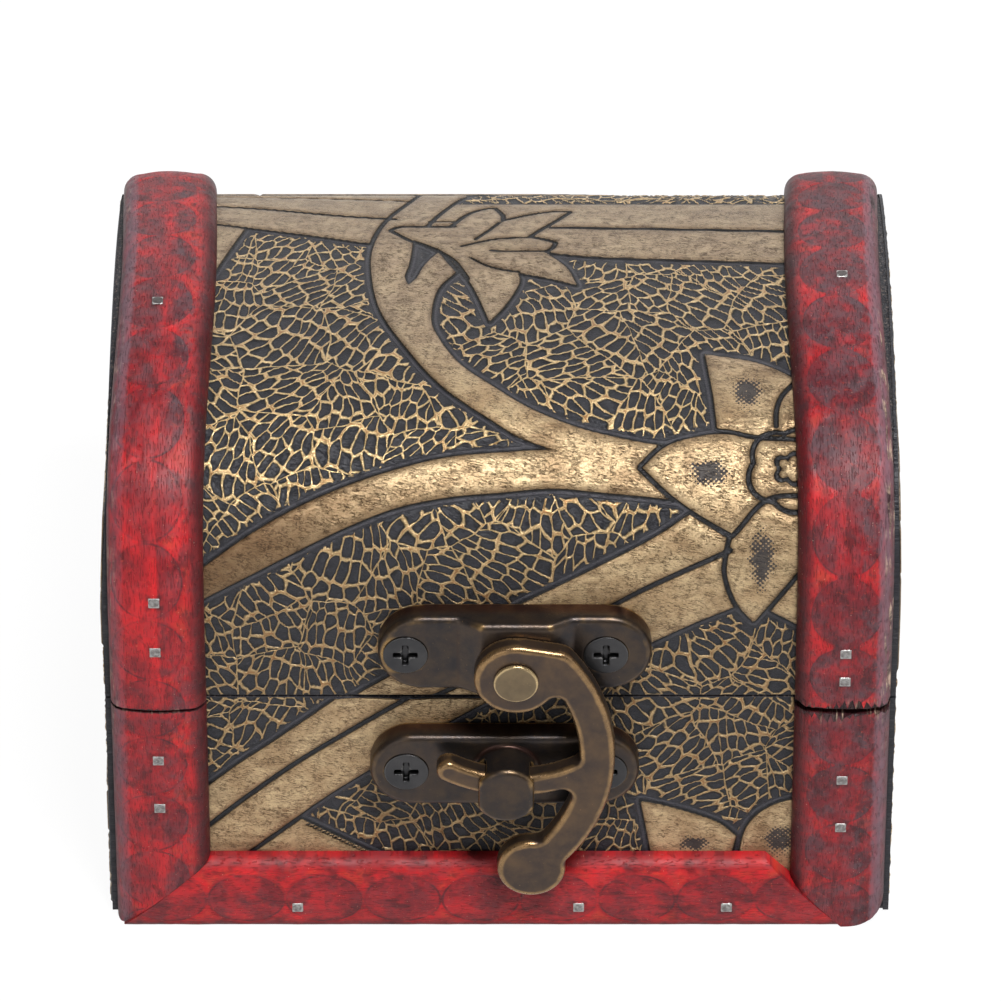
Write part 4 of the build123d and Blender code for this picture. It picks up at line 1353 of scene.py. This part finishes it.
    def build(self) -> None:
        """Build all seven coverings."""
        whole = 2 * self.arch.middle
        front = self.places(self.lid_rim, self.pattern_end, self.fine_step)
        back = np.linspace(self.pattern_end, whole - self.lid_rim, self.back_rows)
        over = np.concatenate([front, back[1:]])
        self.build_panel("lid_wrap_cover", "lid", Side.FRONT, over, self.fine_step)
        box = self.places(self.foot, self.box_rim, self.fine_step)
        self.build_panel("base_front_cover", "base", Side.FRONT, box, self.fine_step)
        box_back = whole - self.places(self.box_rim, self.foot, self.side_step)
        self.build_panel("base_back_cover", "base", Side.BACK, box_back, self.side_step)
        for end in End:
            word = end.name.lower()
            self.build_end(f"base_{word}_cover", "base", end, self.foot, False)
            self.build_end(f"lid_{word}_cover", "lid", end, self.lid_rim, True)


@dataclass
class Discs:
    """A row of stamped ovals along a strip or a rail."""

    start: float  # where two ovals meet
    pitch: float  # from one oval to the next
    across: float  # the ovals' middle, outward from the strip's middle
    half_across: float
    gap: float = 0.12  # between two ovals

    def distance(self, outward: Array, along: Array) -> Array:
        """Give the distance to the nearest oval's edge, positive inside it."""
        half_along = (self.pitch - self.gap) / 2
        step = (along - self.start) % self.pitch - self.pitch / 2
        reach = np.hypot((outward - self.across) / self.half_across, step / half_along)
        return np.clip((1 - reach) * min(self.half_across, half_along), -2, 2)


@dataclass
class Strips:
    """The half-round strips over the lid and up the box, and the rails between them."""

    finish: StainedWood
    arch: Arch
    half_width: float = 38.35  # the strips' outer sides
    width: float = 9.4
    thickness: float = 2.4
    crown: float = 0.3  # how far the moulding's face swells
    edge: float = 1.8  # radius of its edges
    rail_height: float = 7.9
    rail_foot: float = 0.2  # radius of a rail's lower edge
    box_rim: float = 27.2
    lid_rim: float = 27.6
    saw_height: float = 27.4
    hinge_lift: float = 1.4  # height of the hinge pins above the covering
    bevel: float = math.radians(52)  # the back strips' ends, cut so that the lid can swing
    mitre_gap: float = 0.06
    left_toe: float = 0.6  # where the mitres start, inward from the outer side
    right_toe: float = 4.3
    right_short: float = 2.5  # how much further in the right mitre ends
    worn_corner: float = 3.3  # radius of the right foot, which is worn round
    side_start: float = 3.4  # beyond this, from the middle, the outer side is greyed by use and by painted shade
    nearer: float = 0.1  # how much of the cut's play the torn fibres of each side take up
    corner: float = 0.4  # radius of the other feet
    stain_reach: float = 0.7  # how far the wood is stained round a brad
    step: float = 0.27  # between the rows of points
    columns: int = 46  # points over the moulding
    held: float = 0.6  # points lower than this above the covering aren't moved by wear
    grain_shift: Point = (17.0, 5.0)  # sets one piece's grain apart from the next
    arris_middle: float = 1.0  # the rubbed edge: how far in it lies
    arris_reach: float = 1.1  # and how far it reaches
    top_shadow: float = 0.66  # how dark a painted shadow under the covering makes the rails' upper edges, on the scale of the saw cut
    lean: float = 0.75  # how far the strips lean inward at the top of the lid
    lean_start: float = 46.0  # place along the strip where they begin to
    aloft: Point = (40.0, 26.0)  # above this, over this reach, a painted grey sheen greys the strips
    foot_grey: Point = (36.0, -10.0)  # the left strips are also greyed below this, over this downward reach
    redder: Point = (46.0, 7.0)  # middle and reach of a redder stretch of the right strips
    highlight_band: Point = (-0.3, 0.85)  # middle and reach of the redder band along every strip, a painted highlight
    shade_soft: float = 0.16  # softness of the greyed side's edge
    inner_side: Point = (-3.2, -0.7)  # the inner side, which is greyed more than the middle aloft
    torn_seeds: Point = (1.0, 2.2)  # let the lid's and the box's torn edges differ
    split_low: Point = (20.0, 8.0)  # the outer edge is split from here
    split_high: Point = (74.0, -8.0)  # up to here
    split_edge: Point = (3.7, 0.4)  # and this far out
    split_most: dict[End, float] = by_end(0.3, 1.0)
    jag: dict[End, float] = by_end(0.2, 1.6)
    shade: dict[End, Point] = by_end((-0.1, -1.0), (1.6, 1.0))
    lid_discs: dict[End, Discs] = by_end(Discs(2.6, 7.2, 0.8, 3.5), Discs(-1.4, 7.35, 0.1, 3.45))
    stamps: dict[End, float] = by_end(0.4, 0.9)
    rail_band: float = 2.5  # above this, from its middle, a rail is greyed and darkened by a painted shadow
    rail_soft: Point = (-0.5, 0.8)  # softness of the greying's edge and of the painted shadow's edge
    rail_discs: Discs = field(default_factory=lambda: Discs(-29.3, 7.8, -0.45, 2.9))

    def __post_init__(self) -> None:
        """Build the finish."""
        self.material = self.finish.material()

    def section(self, width: float, low_edge: float, high_edge: float) -> tuple[Array, Array]:
        """Walk over the moulding, from one side of its base to the other.

        Args:
            width: The moulding's width.
            low_edge: Radius of the edge at the start.
            high_edge: Radius of the edge at the end.

        Returns:
            Places across, from the middle, and heights above the covering.
        """
        side = self.thickness - self.crown
        half = width / 2
        turns = np.linspace(0, math.pi / 2, 16)
        rise = np.linspace(0, 1, 40)
        face_x = -half + low_edge + rise * (width - low_edge - high_edge)
        face_z = side + self.crown * (1 - (2 * rise - 1) ** 2)
        across = np.concatenate([
            [-half], -half + low_edge * (1 - np.cos(turns)), face_x[1:-1],
            half - high_edge * (1 - np.sin(turns)), [half],
        ])
        lift = np.concatenate([
            [0.0], side - low_edge * (1 - np.sin(turns)), face_z[1:-1],
            side - high_edge * (1 - np.cos(turns)), [0.0],
        ])
        length = np.concatenate([[0], np.cumsum(np.hypot(np.diff(across), np.diff(lift)))])
        even = np.linspace(0, length[-1], self.columns)
        return np.interp(even, length, across), np.interp(even, length, lift)

    @staticmethod
    def smooth(value: Array, start: float = 0.0, reach: float = 1.0) -> Array:
        """Go softly from 0 to 1 over a reach; a reach below 0 goes downward."""
        share = np.clip((value - start) / reach, 0, 1)
        return share * share * (3 - 2 * share)

    @staticmethod
    def bell(value: Array, middle: float, reach: float) -> Array:
        """Give a soft hump, 1 at its middle."""
        return np.exp(-(((value - middle) / reach) ** 2))

    def ragged(self, end: End, outward: Array, seed: float) -> Array:
        """Give how far the torn edge of the saw cut stands back across a strip."""
        slow = 0.7 + 0.3 * np.sin(0.9 * outward + seed)
        quick = np.abs(np.sin(4.3 * outward + seed) * np.sin(7.9 * outward + 3 * seed))
        return self.jag[end] * slow * (0.12 + 0.88 * quick)

    def from_cut(self, along: Array) -> Array:
        """Give the place along a strip as if it were at the front."""
        return np.minimum(along, 2 * self.arch.middle - along)

    def greying(self, end: End, outward: Array, along: Array) -> Array:
        """Give how grey a strip is: greyed by use on one side, most aloft by a painted grey sheen, and least
        along its middle, where a painted highlight runs.

        Args:
            end: The end that the strip is at.
            outward: Places across, from the middle.
            along: Places along.

        Returns:
            Values from 0 to 1.
        """
        place, way = self.shade[end]
        height = self.from_cut(along)
        # aloft: a painted grey sheen over the lid
        aloft = self.smooth(height, *self.aloft)
        beside = self.smooth(outward, place, way * self.shade_soft)
        # a painted highlight along each strip, which the sheen spares
        crest_highlight = self.bell(outward, *self.highlight_band)
        if end is End.LEFT:
            plain = 0.06 + 0.34 * self.smooth(height, *self.foot_grey) + 0.2 * aloft
        else:
            plain = 0.8 - 0.35 * self.bell(height, *self.redder)
        inner = self.smooth(outward, *self.inner_side)
        grey = plain + 0.34 * beside + (0.5 + 0.5 * inner) * aloft
        return np.clip(grey - 0.5 * crest_highlight * (0.3 + 0.7 * aloft), 0, 1)

    def splitting(self, end: End, outward: Array, along: Array) -> Array:
        """Give where the outer edge is split, from 0 to 1; the right strips have lost more."""
        along = self.from_cut(along)
        reach = self.smooth(along, *self.split_low) * self.smooth(along, *self.split_high)
        deep = 0.3 + 0.8 * self.jag[end]
        torn = self.smooth(np.abs(along - self.saw_height), deep, -deep)
        return self.split_most[end] * np.maximum(reach * self.smooth(outward, *self.split_edge), torn)

    def wear(self, kit: Nodes) -> Socket:
        """Give how far a point of the wood moves, in millimetres: stamping, unevenness and chipped edges."""
        place = kit.stored("place", True)
        disc = kit.stored("disc")
        line = kit.ramp(kit.math("ABSOLUTE", disc), 0.24, 0.0, 0.0, -0.07)
        sunk = kit.ramp(disc, 0.0, 0.35, 0.0, -0.05)
        uneven = kit.times(kit.minus(kit.noise(place, 0.45, 3.0), 0.62), 0.14)
        chips = kit.times(kit.stored("arris"), kit.ramp(kit.noise(place, 0.8, 3.0), 0.45, 0.75, 0.0, -0.2))
        return kit.plus(kit.plus(line, sunk), kit.plus(uneven, chips))

    def near_brads(self, body: str, points: Array) -> Array:
        """Give how near each point lies to a brad of its body, from 0 to 1."""
        places = read_rows(frame["nodes"][f"{body}_brads"].data.vertices, "co", 3) / MM
        near = np.full(len(points), FAR)
        for place in places:
            near = np.minimum(near, np.abs(points - place).max(1))
        return np.clip(1 - near / self.stain_reach, 0, 1)

    def held_low(self, out: Array, tall: Array) -> Array:
        """Take the outward directions from the points close to the covering, so that they stay."""
        return out * (tall > self.held)[..., None]

    def upright(self, side: Side, x: Array, tall: Array, z: Array) -> tuple[Array, Array]:
        """Set points up on the front or the back of the box.

        Args:
            side: The face that they lie on.
            x: Places across the chest.
            tall: Heights above the covering.
            z: Heights above the ground.

        Returns:
            The points and their outward directions.
        """
        facing = float(side.value)
        points = np.stack([x, facing * (self.arch.face + tall), z], -1)
        return points, self.held_low(np.tile([0.0, facing, 0.0], (*x.shape, 1)), tall)

    def strip_values(self, end: End, outward: Array, along: Array) -> dict[str, Array]:
        """Give what a strip's points keep for its finish, with the saw cut at its last row."""
        cut = np.zeros(outward.shape)
        cut[-1] = 1.0
        return {
            "outward": outward, "along": along, "disc": self.lid_discs[end].distance(outward, along),
            "greyed": self.greying(end, outward, along), "split": self.splitting(end, outward, along),
            "cut": cut,
        }

    def make(
        self, name: str, body: str, points: Array, out: Array, values: dict[str, Array], number: float,
        rubbed: float = 1.0, turned: bool = False,
    ) -> None:
        """Make one strip or rail from its rows of points.

        Args:
            name: The node that it stands for.
            body: The body that carries it.
            points: Rows of places, one row for each section.
            out: Outward directions.
            values: Outward and along, the places across and along, and what else the finish reads.
            number: Sets the piece's grain apart from the others'.
            rubbed: How much the outer edge is rubbed, from 0 to 1.
            turned: Whether the rows run the other way, so that the faces must be turned outward.
        """
        if turned:
            points, out = np.flip(points, 1), np.flip(out, 1)
            values = {label: np.flip(array, 1) for label, array in values.items()}
        outward, along = values["outward"], values["along"]
        edge = outward - self.width / 2 + self.arris_middle
        arris = rubbed * np.clip(1 - np.abs(edge) / self.arris_reach, 0, 1)
        shift, depth = self.grain_shift
        place = np.stack([outward + shift * number, along, np.full(outward.shape, depth * number)], -1)
        kept = {label: array.ravel() for label, array in values.items() if label != "along"}
        kept["nailed"] = self.near_brads(body, points.reshape(-1, 3))
        end = End.LEFT if points[..., 0].max() < 0 else End.RIGHT
        kept["stamp"] = np.full(outward.size, self.stamps[end])
        kept |= {"place": place.reshape(-1, 3), "arris": arris.ravel(), "out": out.reshape(-1, 3)}
        kept["outward"] = np.minimum(outward, self.side_start + rubbed * self.width).ravel()
        piece = make_piece(name + "_wood", points.reshape(-1, 3), loft_faces(*outward.shape), **kept)
        emboss(piece, self.wear)
        finish_piece(piece, self.material, body, (name,), crease=60.0)

    def bevelled(self, lift: Array) -> Array:
        """Give how far a back strip's end lies beyond the saw cut, for heights above the covering."""
        return (lift - self.hinge_lift) * math.tan(self.bevel)

    def build_lid_strip(self, end: End) -> None:
        """Bend a strip over the lid at one end."""
        across, lift = self.section(self.width, self.edge, self.edge)
        middle = end.value * (self.half_width - self.width / 2)
        whole = 2 * self.arch.middle
        low = self.lid_rim - self.nearer + self.ragged(end, across * end.value, self.torn_seeds[0])
        high = whole - np.maximum(self.lid_rim, self.saw_height + self.bevelled(lift))
        rows = round((whole - 2 * self.lid_rim) / self.step)
        along = low + np.linspace(0, 1, rows)[:, None] * (high - low)
        wide = np.tile(across, (rows, 1))
        tall = np.tile(lift, (rows, 1))
        y, z, out_y, out_z = self.arch.place(along)
        lean_reach = self.arch.middle - self.lean_start
        lean = self.lean * self.smooth(self.from_cut(along), self.lean_start, lean_reach)
        points = np.stack([middle + wide - end.value * lean, y + out_y * tall, z + out_z * tall], -1)
        out = self.held_low(np.stack([np.zeros(y.shape), out_y, out_z], -1), tall)
        values = self.strip_values(end, wide * end.value, along)
        values["cut"][0] = 1.0
        self.make(f"lid_{end.name.lower()}_strip", "lid", points, out, values, 1.0 + end.value)

    def build_box_strip(self, side: Side, end: End) -> None:
        """Build an upright strip of the box, with its mitred foot."""
        across, lift = self.section(self.width, self.edge, self.edge)
        middle = end.value * (self.half_width - self.width / 2)
        inner = self.half_width - self.width
        outward = across * end.value
        distance = outward + self.width / 2 + inner
        worn = side is Side.FRONT and end is End.RIGHT
        toe = self.half_width - (self.right_toe if worn else self.left_toe)
        heel = inner - self.right_short if worn else inner
        low = self.rail_height * np.clip((toe - distance) / (toe - heel), 0, None)
        radius = self.worn_corner if worn else self.corner
        inset = np.clip(distance - self.half_width + radius, 0, radius)
        low = np.maximum(low, radius - np.sqrt(radius**2 - inset**2))
        if side is Side.FRONT:
            high = self.box_rim + self.nearer - self.ragged(end, outward, self.torn_seeds[1])
        else:
            high = np.minimum(self.box_rim, self.saw_height - self.bevelled(lift))
        rows = round(self.box_rim / self.step)
        along = low + np.linspace(0, 1, rows)[:, None] * (high - low)
        points, out = self.upright(side, np.tile(middle + across, (rows, 1)), np.tile(lift, (rows, 1)), along)
        values = self.strip_values(end, np.tile(outward, (rows, 1)), along)
        name = f"base_{side.name.lower()}_{end.name.lower()}_strip"
        number = 4.0 + end.value + 2 * side.value
        self.make(name, "base", points, out, values, number, turned=side is Side.BACK)

    def build_rail(self, side: Side) -> None:
        """Build the bottom rail of one side, mitred at both ends."""
        across, lift = self.section(self.rail_height, self.rail_foot, self.edge)
        height = across + self.rail_height / 2
        inner = self.half_width - self.width
        share = height / self.rail_height
        left_toe = self.half_width - self.left_toe - self.mitre_gap
        left = -(left_toe + (inner - self.mitre_gap - left_toe) * share)
        if side is Side.FRONT:
            toe, heel = self.half_width - self.right_toe, inner - self.right_short
            right = toe + (heel - toe) * share - self.mitre_gap
        else:
            right = -left
        rows = round(2 * self.half_width / self.step)
        x = left + np.linspace(0, 1, rows)[:, None] * (right - left)
        points, out = self.upright(side, x, np.tile(lift, (rows, 1)), np.tile(height, (rows, 1)))
        outward = np.tile(across, (rows, 1))
        grey_soft, shadow_soft = self.rail_soft
        values = {
            "outward": outward, "along": x, "disc": self.rail_discs.distance(outward, x),
            "greyed": 0.2 - 0.04 * self.smooth(outward, self.rail_band, grey_soft),
            "split": np.zeros(x.shape),
            # painted shadow under the covering along the rail's upper edge
            "cut": self.top_shadow * self.smooth(outward, self.rail_band, shadow_soft),
        }
        name = f"base_{side.name.lower()}_rail"
        self.make(name, "base", points, out, values, 9.0 + side.value, rubbed=0.0, turned=side is Side.FRONT)

    def build(self) -> None:
        """Build all strips and rails."""
        for end in End:
            self.build_lid_strip(end)
            for side in Side:
                self.build_box_strip(side, end)
        for side in Side:
            self.build_rail(side)


@dataclass
class Metalwork:
    """The latch, the hinges, the screws and the brads, rounded and worn from the plain solids."""

    plates: AgedMetal
    hook: AgedMetal
    rivet: AgedMetal
    screws: AgedMetal
    brads: AgedMetal
    bronze_slot: str = "antique_bronze"
    steel_slot: str = "bright_steel"
    cover_face: float = 29.6
    weld: float = 0.002  # points closer than this are one, in mm
    softening: int = 3  # rounds in which a copy's edges are rounded
    smoothing: int = 12  # rounds of averaging before the edges' sharpness is kept
    sharpest: float = 97.0  # share of the points, in percent, that are less than fully sharp

    def soften(self, node: str, voxel: float, material: bpy.types.Material, slot: str) -> None:
        """Copy a node's solid and round its edges as casting and use do.

        Args:
            node: The node.
            voxel: Fineness of the copy, in mm.
            material: Its finish.
            slot: The record's material slot; not used.
        """
        source = frame["nodes"][node]
        mesh = source.data.copy()
        mesh.name = node + "_metal"
        mesh.transform(Matrix.Scale(1 / MM, 4))
        solid = bmesh.new()
        solid.from_mesh(mesh)
        bmesh.ops.remove_doubles(solid, verts=solid.verts, dist=self.weld)
        solid.to_mesh(mesh)
        solid.free()
        piece = link_object(node + "_metal", mesh)
        remesh = piece.modifiers.new("skin", "REMESH")
        remesh.mode = "VOXEL"
        remesh.voxel_size = voxel
        smooth = piece.modifiers.new("soften", "SMOOTH")
        smooth.factor = 0.5
        smooth.iterations = self.softening
        keep_result(piece)
        self.keep_shape_values(piece)
        piece.data.transform(Matrix.Scale(MM, 4))
        finish_piece(piece, material, source["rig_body"], (node,), crease=80.0)

    def keep_shape_values(self, piece: bpy.types.Object) -> None:
        """Keep each point's place, its height above the covering and how sharply the metal turns there."""
        mesh = piece.data
        count = len(mesh.vertices)
        points = read_rows(mesh.vertices, "co", 3)
        normals = read_rows(mesh.vertices, "normal", 3)
        first, second = read_rows(mesh.edges, "vertices", 2, int).T
        spread = np.bincount(first, minlength=count) + np.bincount(second, minlength=count)
        spread = np.maximum(spread, 1)

        def around(values: Array) -> Array:
            """Average the neighbours' values."""
            columns = []
            for column in values.reshape(count, -1).T:
                total = np.bincount(first, column[second], count) + np.bincount(second, column[first], count)
                columns.append(total / spread)
            return np.stack(columns, -1)

        bend = -((around(points) - points) * normals).sum(1)
        for _ in range(self.smoothing):
            bend = 0.5 * bend + 0.5 * around(bend)[:, 0]
        sharp = np.clip(bend / np.percentile(np.abs(bend), self.sharpest), -1, 1)
        lift = np.abs(points[:, 1]) - self.cover_face
        keep_values(mesh, {"sharp": sharp, "lift": lift, "place": points})

    def build(self) -> None:
        """Build every metal piece."""
        leaves = {f"{end}_hinge_{leaf}_leaf": 0.12 for end in ("left", "right") for leaf in ("box", "lid")}
        pins = {"left_hinge_pin": 0.1, "right_hinge_pin": 0.1}
        nails = {"hinge_box_nails": 0.09, "hinge_lid_nails": 0.09}
        groups = (
            (self.plates, self.bronze_slot, {"latch_plate": 0.13, "keeper_plate": 0.13} | leaves),
            (self.hook, self.bronze_slot, {"latch_hook": 0.12} | pins),
            (self.rivet, self.bronze_slot, {"latch_rivet": 0.09} | nails),
            (self.screws, self.bronze_slot, {"latch_screws": 0.08, "keeper_screws": 0.08}),
            (self.brads, self.steel_slot, {"base_brads": 0.09, "lid_brads": 0.09}),
        )
        for finish, slot, nodes in groups:
            material = finish.material()
            for node, voxel in nodes.items():
                self.soften(node, voxel, material, slot)


@dataclass
class Carcass:
    """The bare boards of the box and the lid, which stay as they are and get their grain."""

    finish: RawWood
    boards: tuple[str, ...] = (
        "base_bottom", "base_front_board", "base_back_board", "base_left_end", "base_right_end",
        "lid_shell", "lid_left_end", "lid_right_end",
    )

    def build(self) -> None:
        """Dress the boards."""
        material = self.finish.material()
        for board in self.boards:
            mesh = frame["nodes"][board].data
            mesh.materials.clear()
            mesh.materials.append(material)
            log.info("%s: bare wood", board)


@dataclass(frozen=True)
class Lamp:
    """A soft lamp that looks at the chest. Its place and its size are metres."""

    name: str
    place: tuple[float, float, float]
    size: tuple[float, float]  # width and height
    power: float  # in watts

    def build(self, target: Vector) -> None:
        """Hang the lamp, turned to its target."""
        lamp = bpy.data.lights.new(self.name, "AREA")
        lamp.shape = "RECTANGLE"
        lamp.size, lamp.size_y = self.size
        lamp.energy = self.power
        holder = link_object(self.name, lamp)
        holder.location = self.place
        holder.rotation_euler = (target - Vector(self.place)).to_track_quat("-Z", "Y").to_euler()
        holder.visible_camera = False


@dataclass
class Studio:
    """The floor, the soft lights and the camera."""

    lamps: tuple[Lamp, ...] = (
        Lamp("key", (0.14, -0.34, 0.72), (0.24, 0.2), 7.7),
        Lamp("front", (-0.4, -0.8, 0.35), (0.6, 0.5), 1.4),
        Lamp("side", (0.7, -0.3, 0.3), (0.5, 0.5), 0.8),
        Lamp("back", (0.0, 0.68, 0.46), (1.2, 0.6), 4.5),
    )
    target: tuple[float, float, float] = (0.0, 0.0, 0.03)  # what the lamps look at
    eye: tuple[float, float, float] = (0.0, -0.6898, 0.5462)
    tilt: float = math.radians(53.16)
    lens: float = 306.7
    sensor: float = 36.0
    floor_reach: float = 6.0
    floor_glow: float = 0.9  # how much of the floor's own white the camera sees
    glow: float = 1.05  # strength of that white
    surround: float = 0.45  # strength of the light from all round
    reflected: float = 0.95  # strength of the white that glossy surfaces show
    room: float = 0.22  # what they show of the room behind the camera
    room_depth: Span = (-0.1, -0.55)  # directions between which that room begins, frontward
    room_top: Span = (0.88, 0.66)  # and downward

    def build_floor(self) -> None:
        """Lay a pale floor that looks white to the camera and keeps a soft shadow."""
        grid = bmesh.new()
        bmesh.ops.create_grid(grid, x_segments=8, y_segments=8, size=self.floor_reach)
        mesh = bpy.data.meshes.new("floor")
        grid.to_mesh(mesh)
        grid.free()
        floor = link_object("floor", mesh)
        material, kit, shader = new_material("pale_floor")
        shader.inputs["Base Color"].default_value = colour(226, 226, 226)
        shader.inputs["Roughness"].default_value = 0.9
        path = kit.add("ShaderNodeLightPath")
        seen = kit.larger(path.outputs["Is Camera Ray"], path.outputs["Is Glossy Ray"])
        seen = kit.larger(seen, path.outputs["Is Transmission Ray"])
        glow = kit.fill("ShaderNodeEmission", {"Strength": self.glow}).outputs[0]
        layers = {0: kit.times(seen, self.floor_glow), 1: shader.outputs[0], 2: glow}
        mixed = kit.fill("ShaderNodeMixShader", layers)
        kit.put(material.node_tree.nodes["Material Output"].inputs["Surface"], mixed.outputs[0])
        mesh.materials.append(material)

    def build_world(self) -> None:
        """Surround the chest with even white light; in reflections the room in front of it is dim."""
        world = bpy.data.worlds.new("studio")
        bpy.context.scene.world = world
        world.use_nodes = True
        kit = Nodes(world.node_tree)
        path = kit.add("ShaderNodeLightPath")
        seen = kit.larger(path.outputs["Is Camera Ray"], path.outputs["Is Transmission Ray"])
        _, depth, height = kit.parts(kit.add("ShaderNodeTexCoord").outputs["Generated"])
        room = kit.times(kit.ramp(depth, *self.room_depth), kit.ramp(height, *self.room_top))
        mirrored = kit.between(room, self.reflected, self.room)
        plain = kit.between(path.outputs["Is Glossy Ray"], self.surround, mirrored)
        ground = world.node_tree.nodes["Background"]
        kit.put(ground.inputs["Strength"], kit.between(seen, plain, 1.0))

    def build_camera(self) -> None:
        """Set the camera at the photograph's angle."""
        lens = bpy.data.cameras.new("camera")
        lens.lens = self.lens
        lens.sensor_width = self.sensor
        lens.clip_start = 0.01
        holder = link_object("camera", lens)
        holder.location = self.eye
        holder.rotation_euler = (self.tilt, 0.0, 0.0)
        bpy.context.scene.camera = holder

    def build(self) -> None:
        """Build the whole studio."""
        self.build_floor()
        self.build_world()
        for lamp in self.lamps:
            lamp.build(Vector(self.target))
        self.build_camera()
        bpy.context.scene.view_settings.view_transform = "Standard"


def main() -> None:
    """Build the chest, sub-assembly by sub-assembly."""
    logging.basicConfig(level=logging.INFO, format="%(name)s: %(message)s")
    effects = SharedEffects()
    arch = Arch()
    metals = Metalwork(
        plates=AgedMetal(
            effects, "bronze_plates", body=colour(48, 46, 48), body_warm=colour(66, 56, 50),
            worn=colour(156, 124, 78), skirt=colour(58, 32, 25), amount=0.4, skirt_top=1.9,
        ),
        hook=AgedMetal(
            effects, "bronze_hook", body=colour(60, 53, 52), body_warm=colour(86, 70, 57),
            worn=colour(156, 124, 84), skirt=colour(50, 35, 29), amount=0.58, rubbed=0.03,
        ),
        rivet=AgedMetal(
            effects, "bronze_rivet", body=colour(94, 82, 66), body_warm=colour(112, 96, 74),
            worn=colour(206, 180, 134), skirt=colour(56, 43, 34), amount=0.42, rubbed=0.03,
        ),
        screws=AgedMetal(
            effects, "black_screws", body=colour(54, 54, 56), body_warm=colour(66, 65, 66),
            worn=colour(104, 102, 100), skirt=colour(16, 15, 16), amount=0.12,
        ),
        brads=AgedMetal(
            effects, "bright_brads", body=colour(150, 148, 146), body_warm=colour(96, 90, 88),
            worn=colour(176, 174, 172), skirt=colour(48, 36, 36), amount=0.3,
            metallic=0.7, roughness=0.4, patch=0.35,
        ),
    )
    Studio().build()
    Carcass(RawWood(effects)).build()
    Covering(Leathercloth(effects, Relief()), arch).build()
    Strips(StainedWood(effects), arch).build()
    metals.build()


if __name__ == "__main__":
    main()
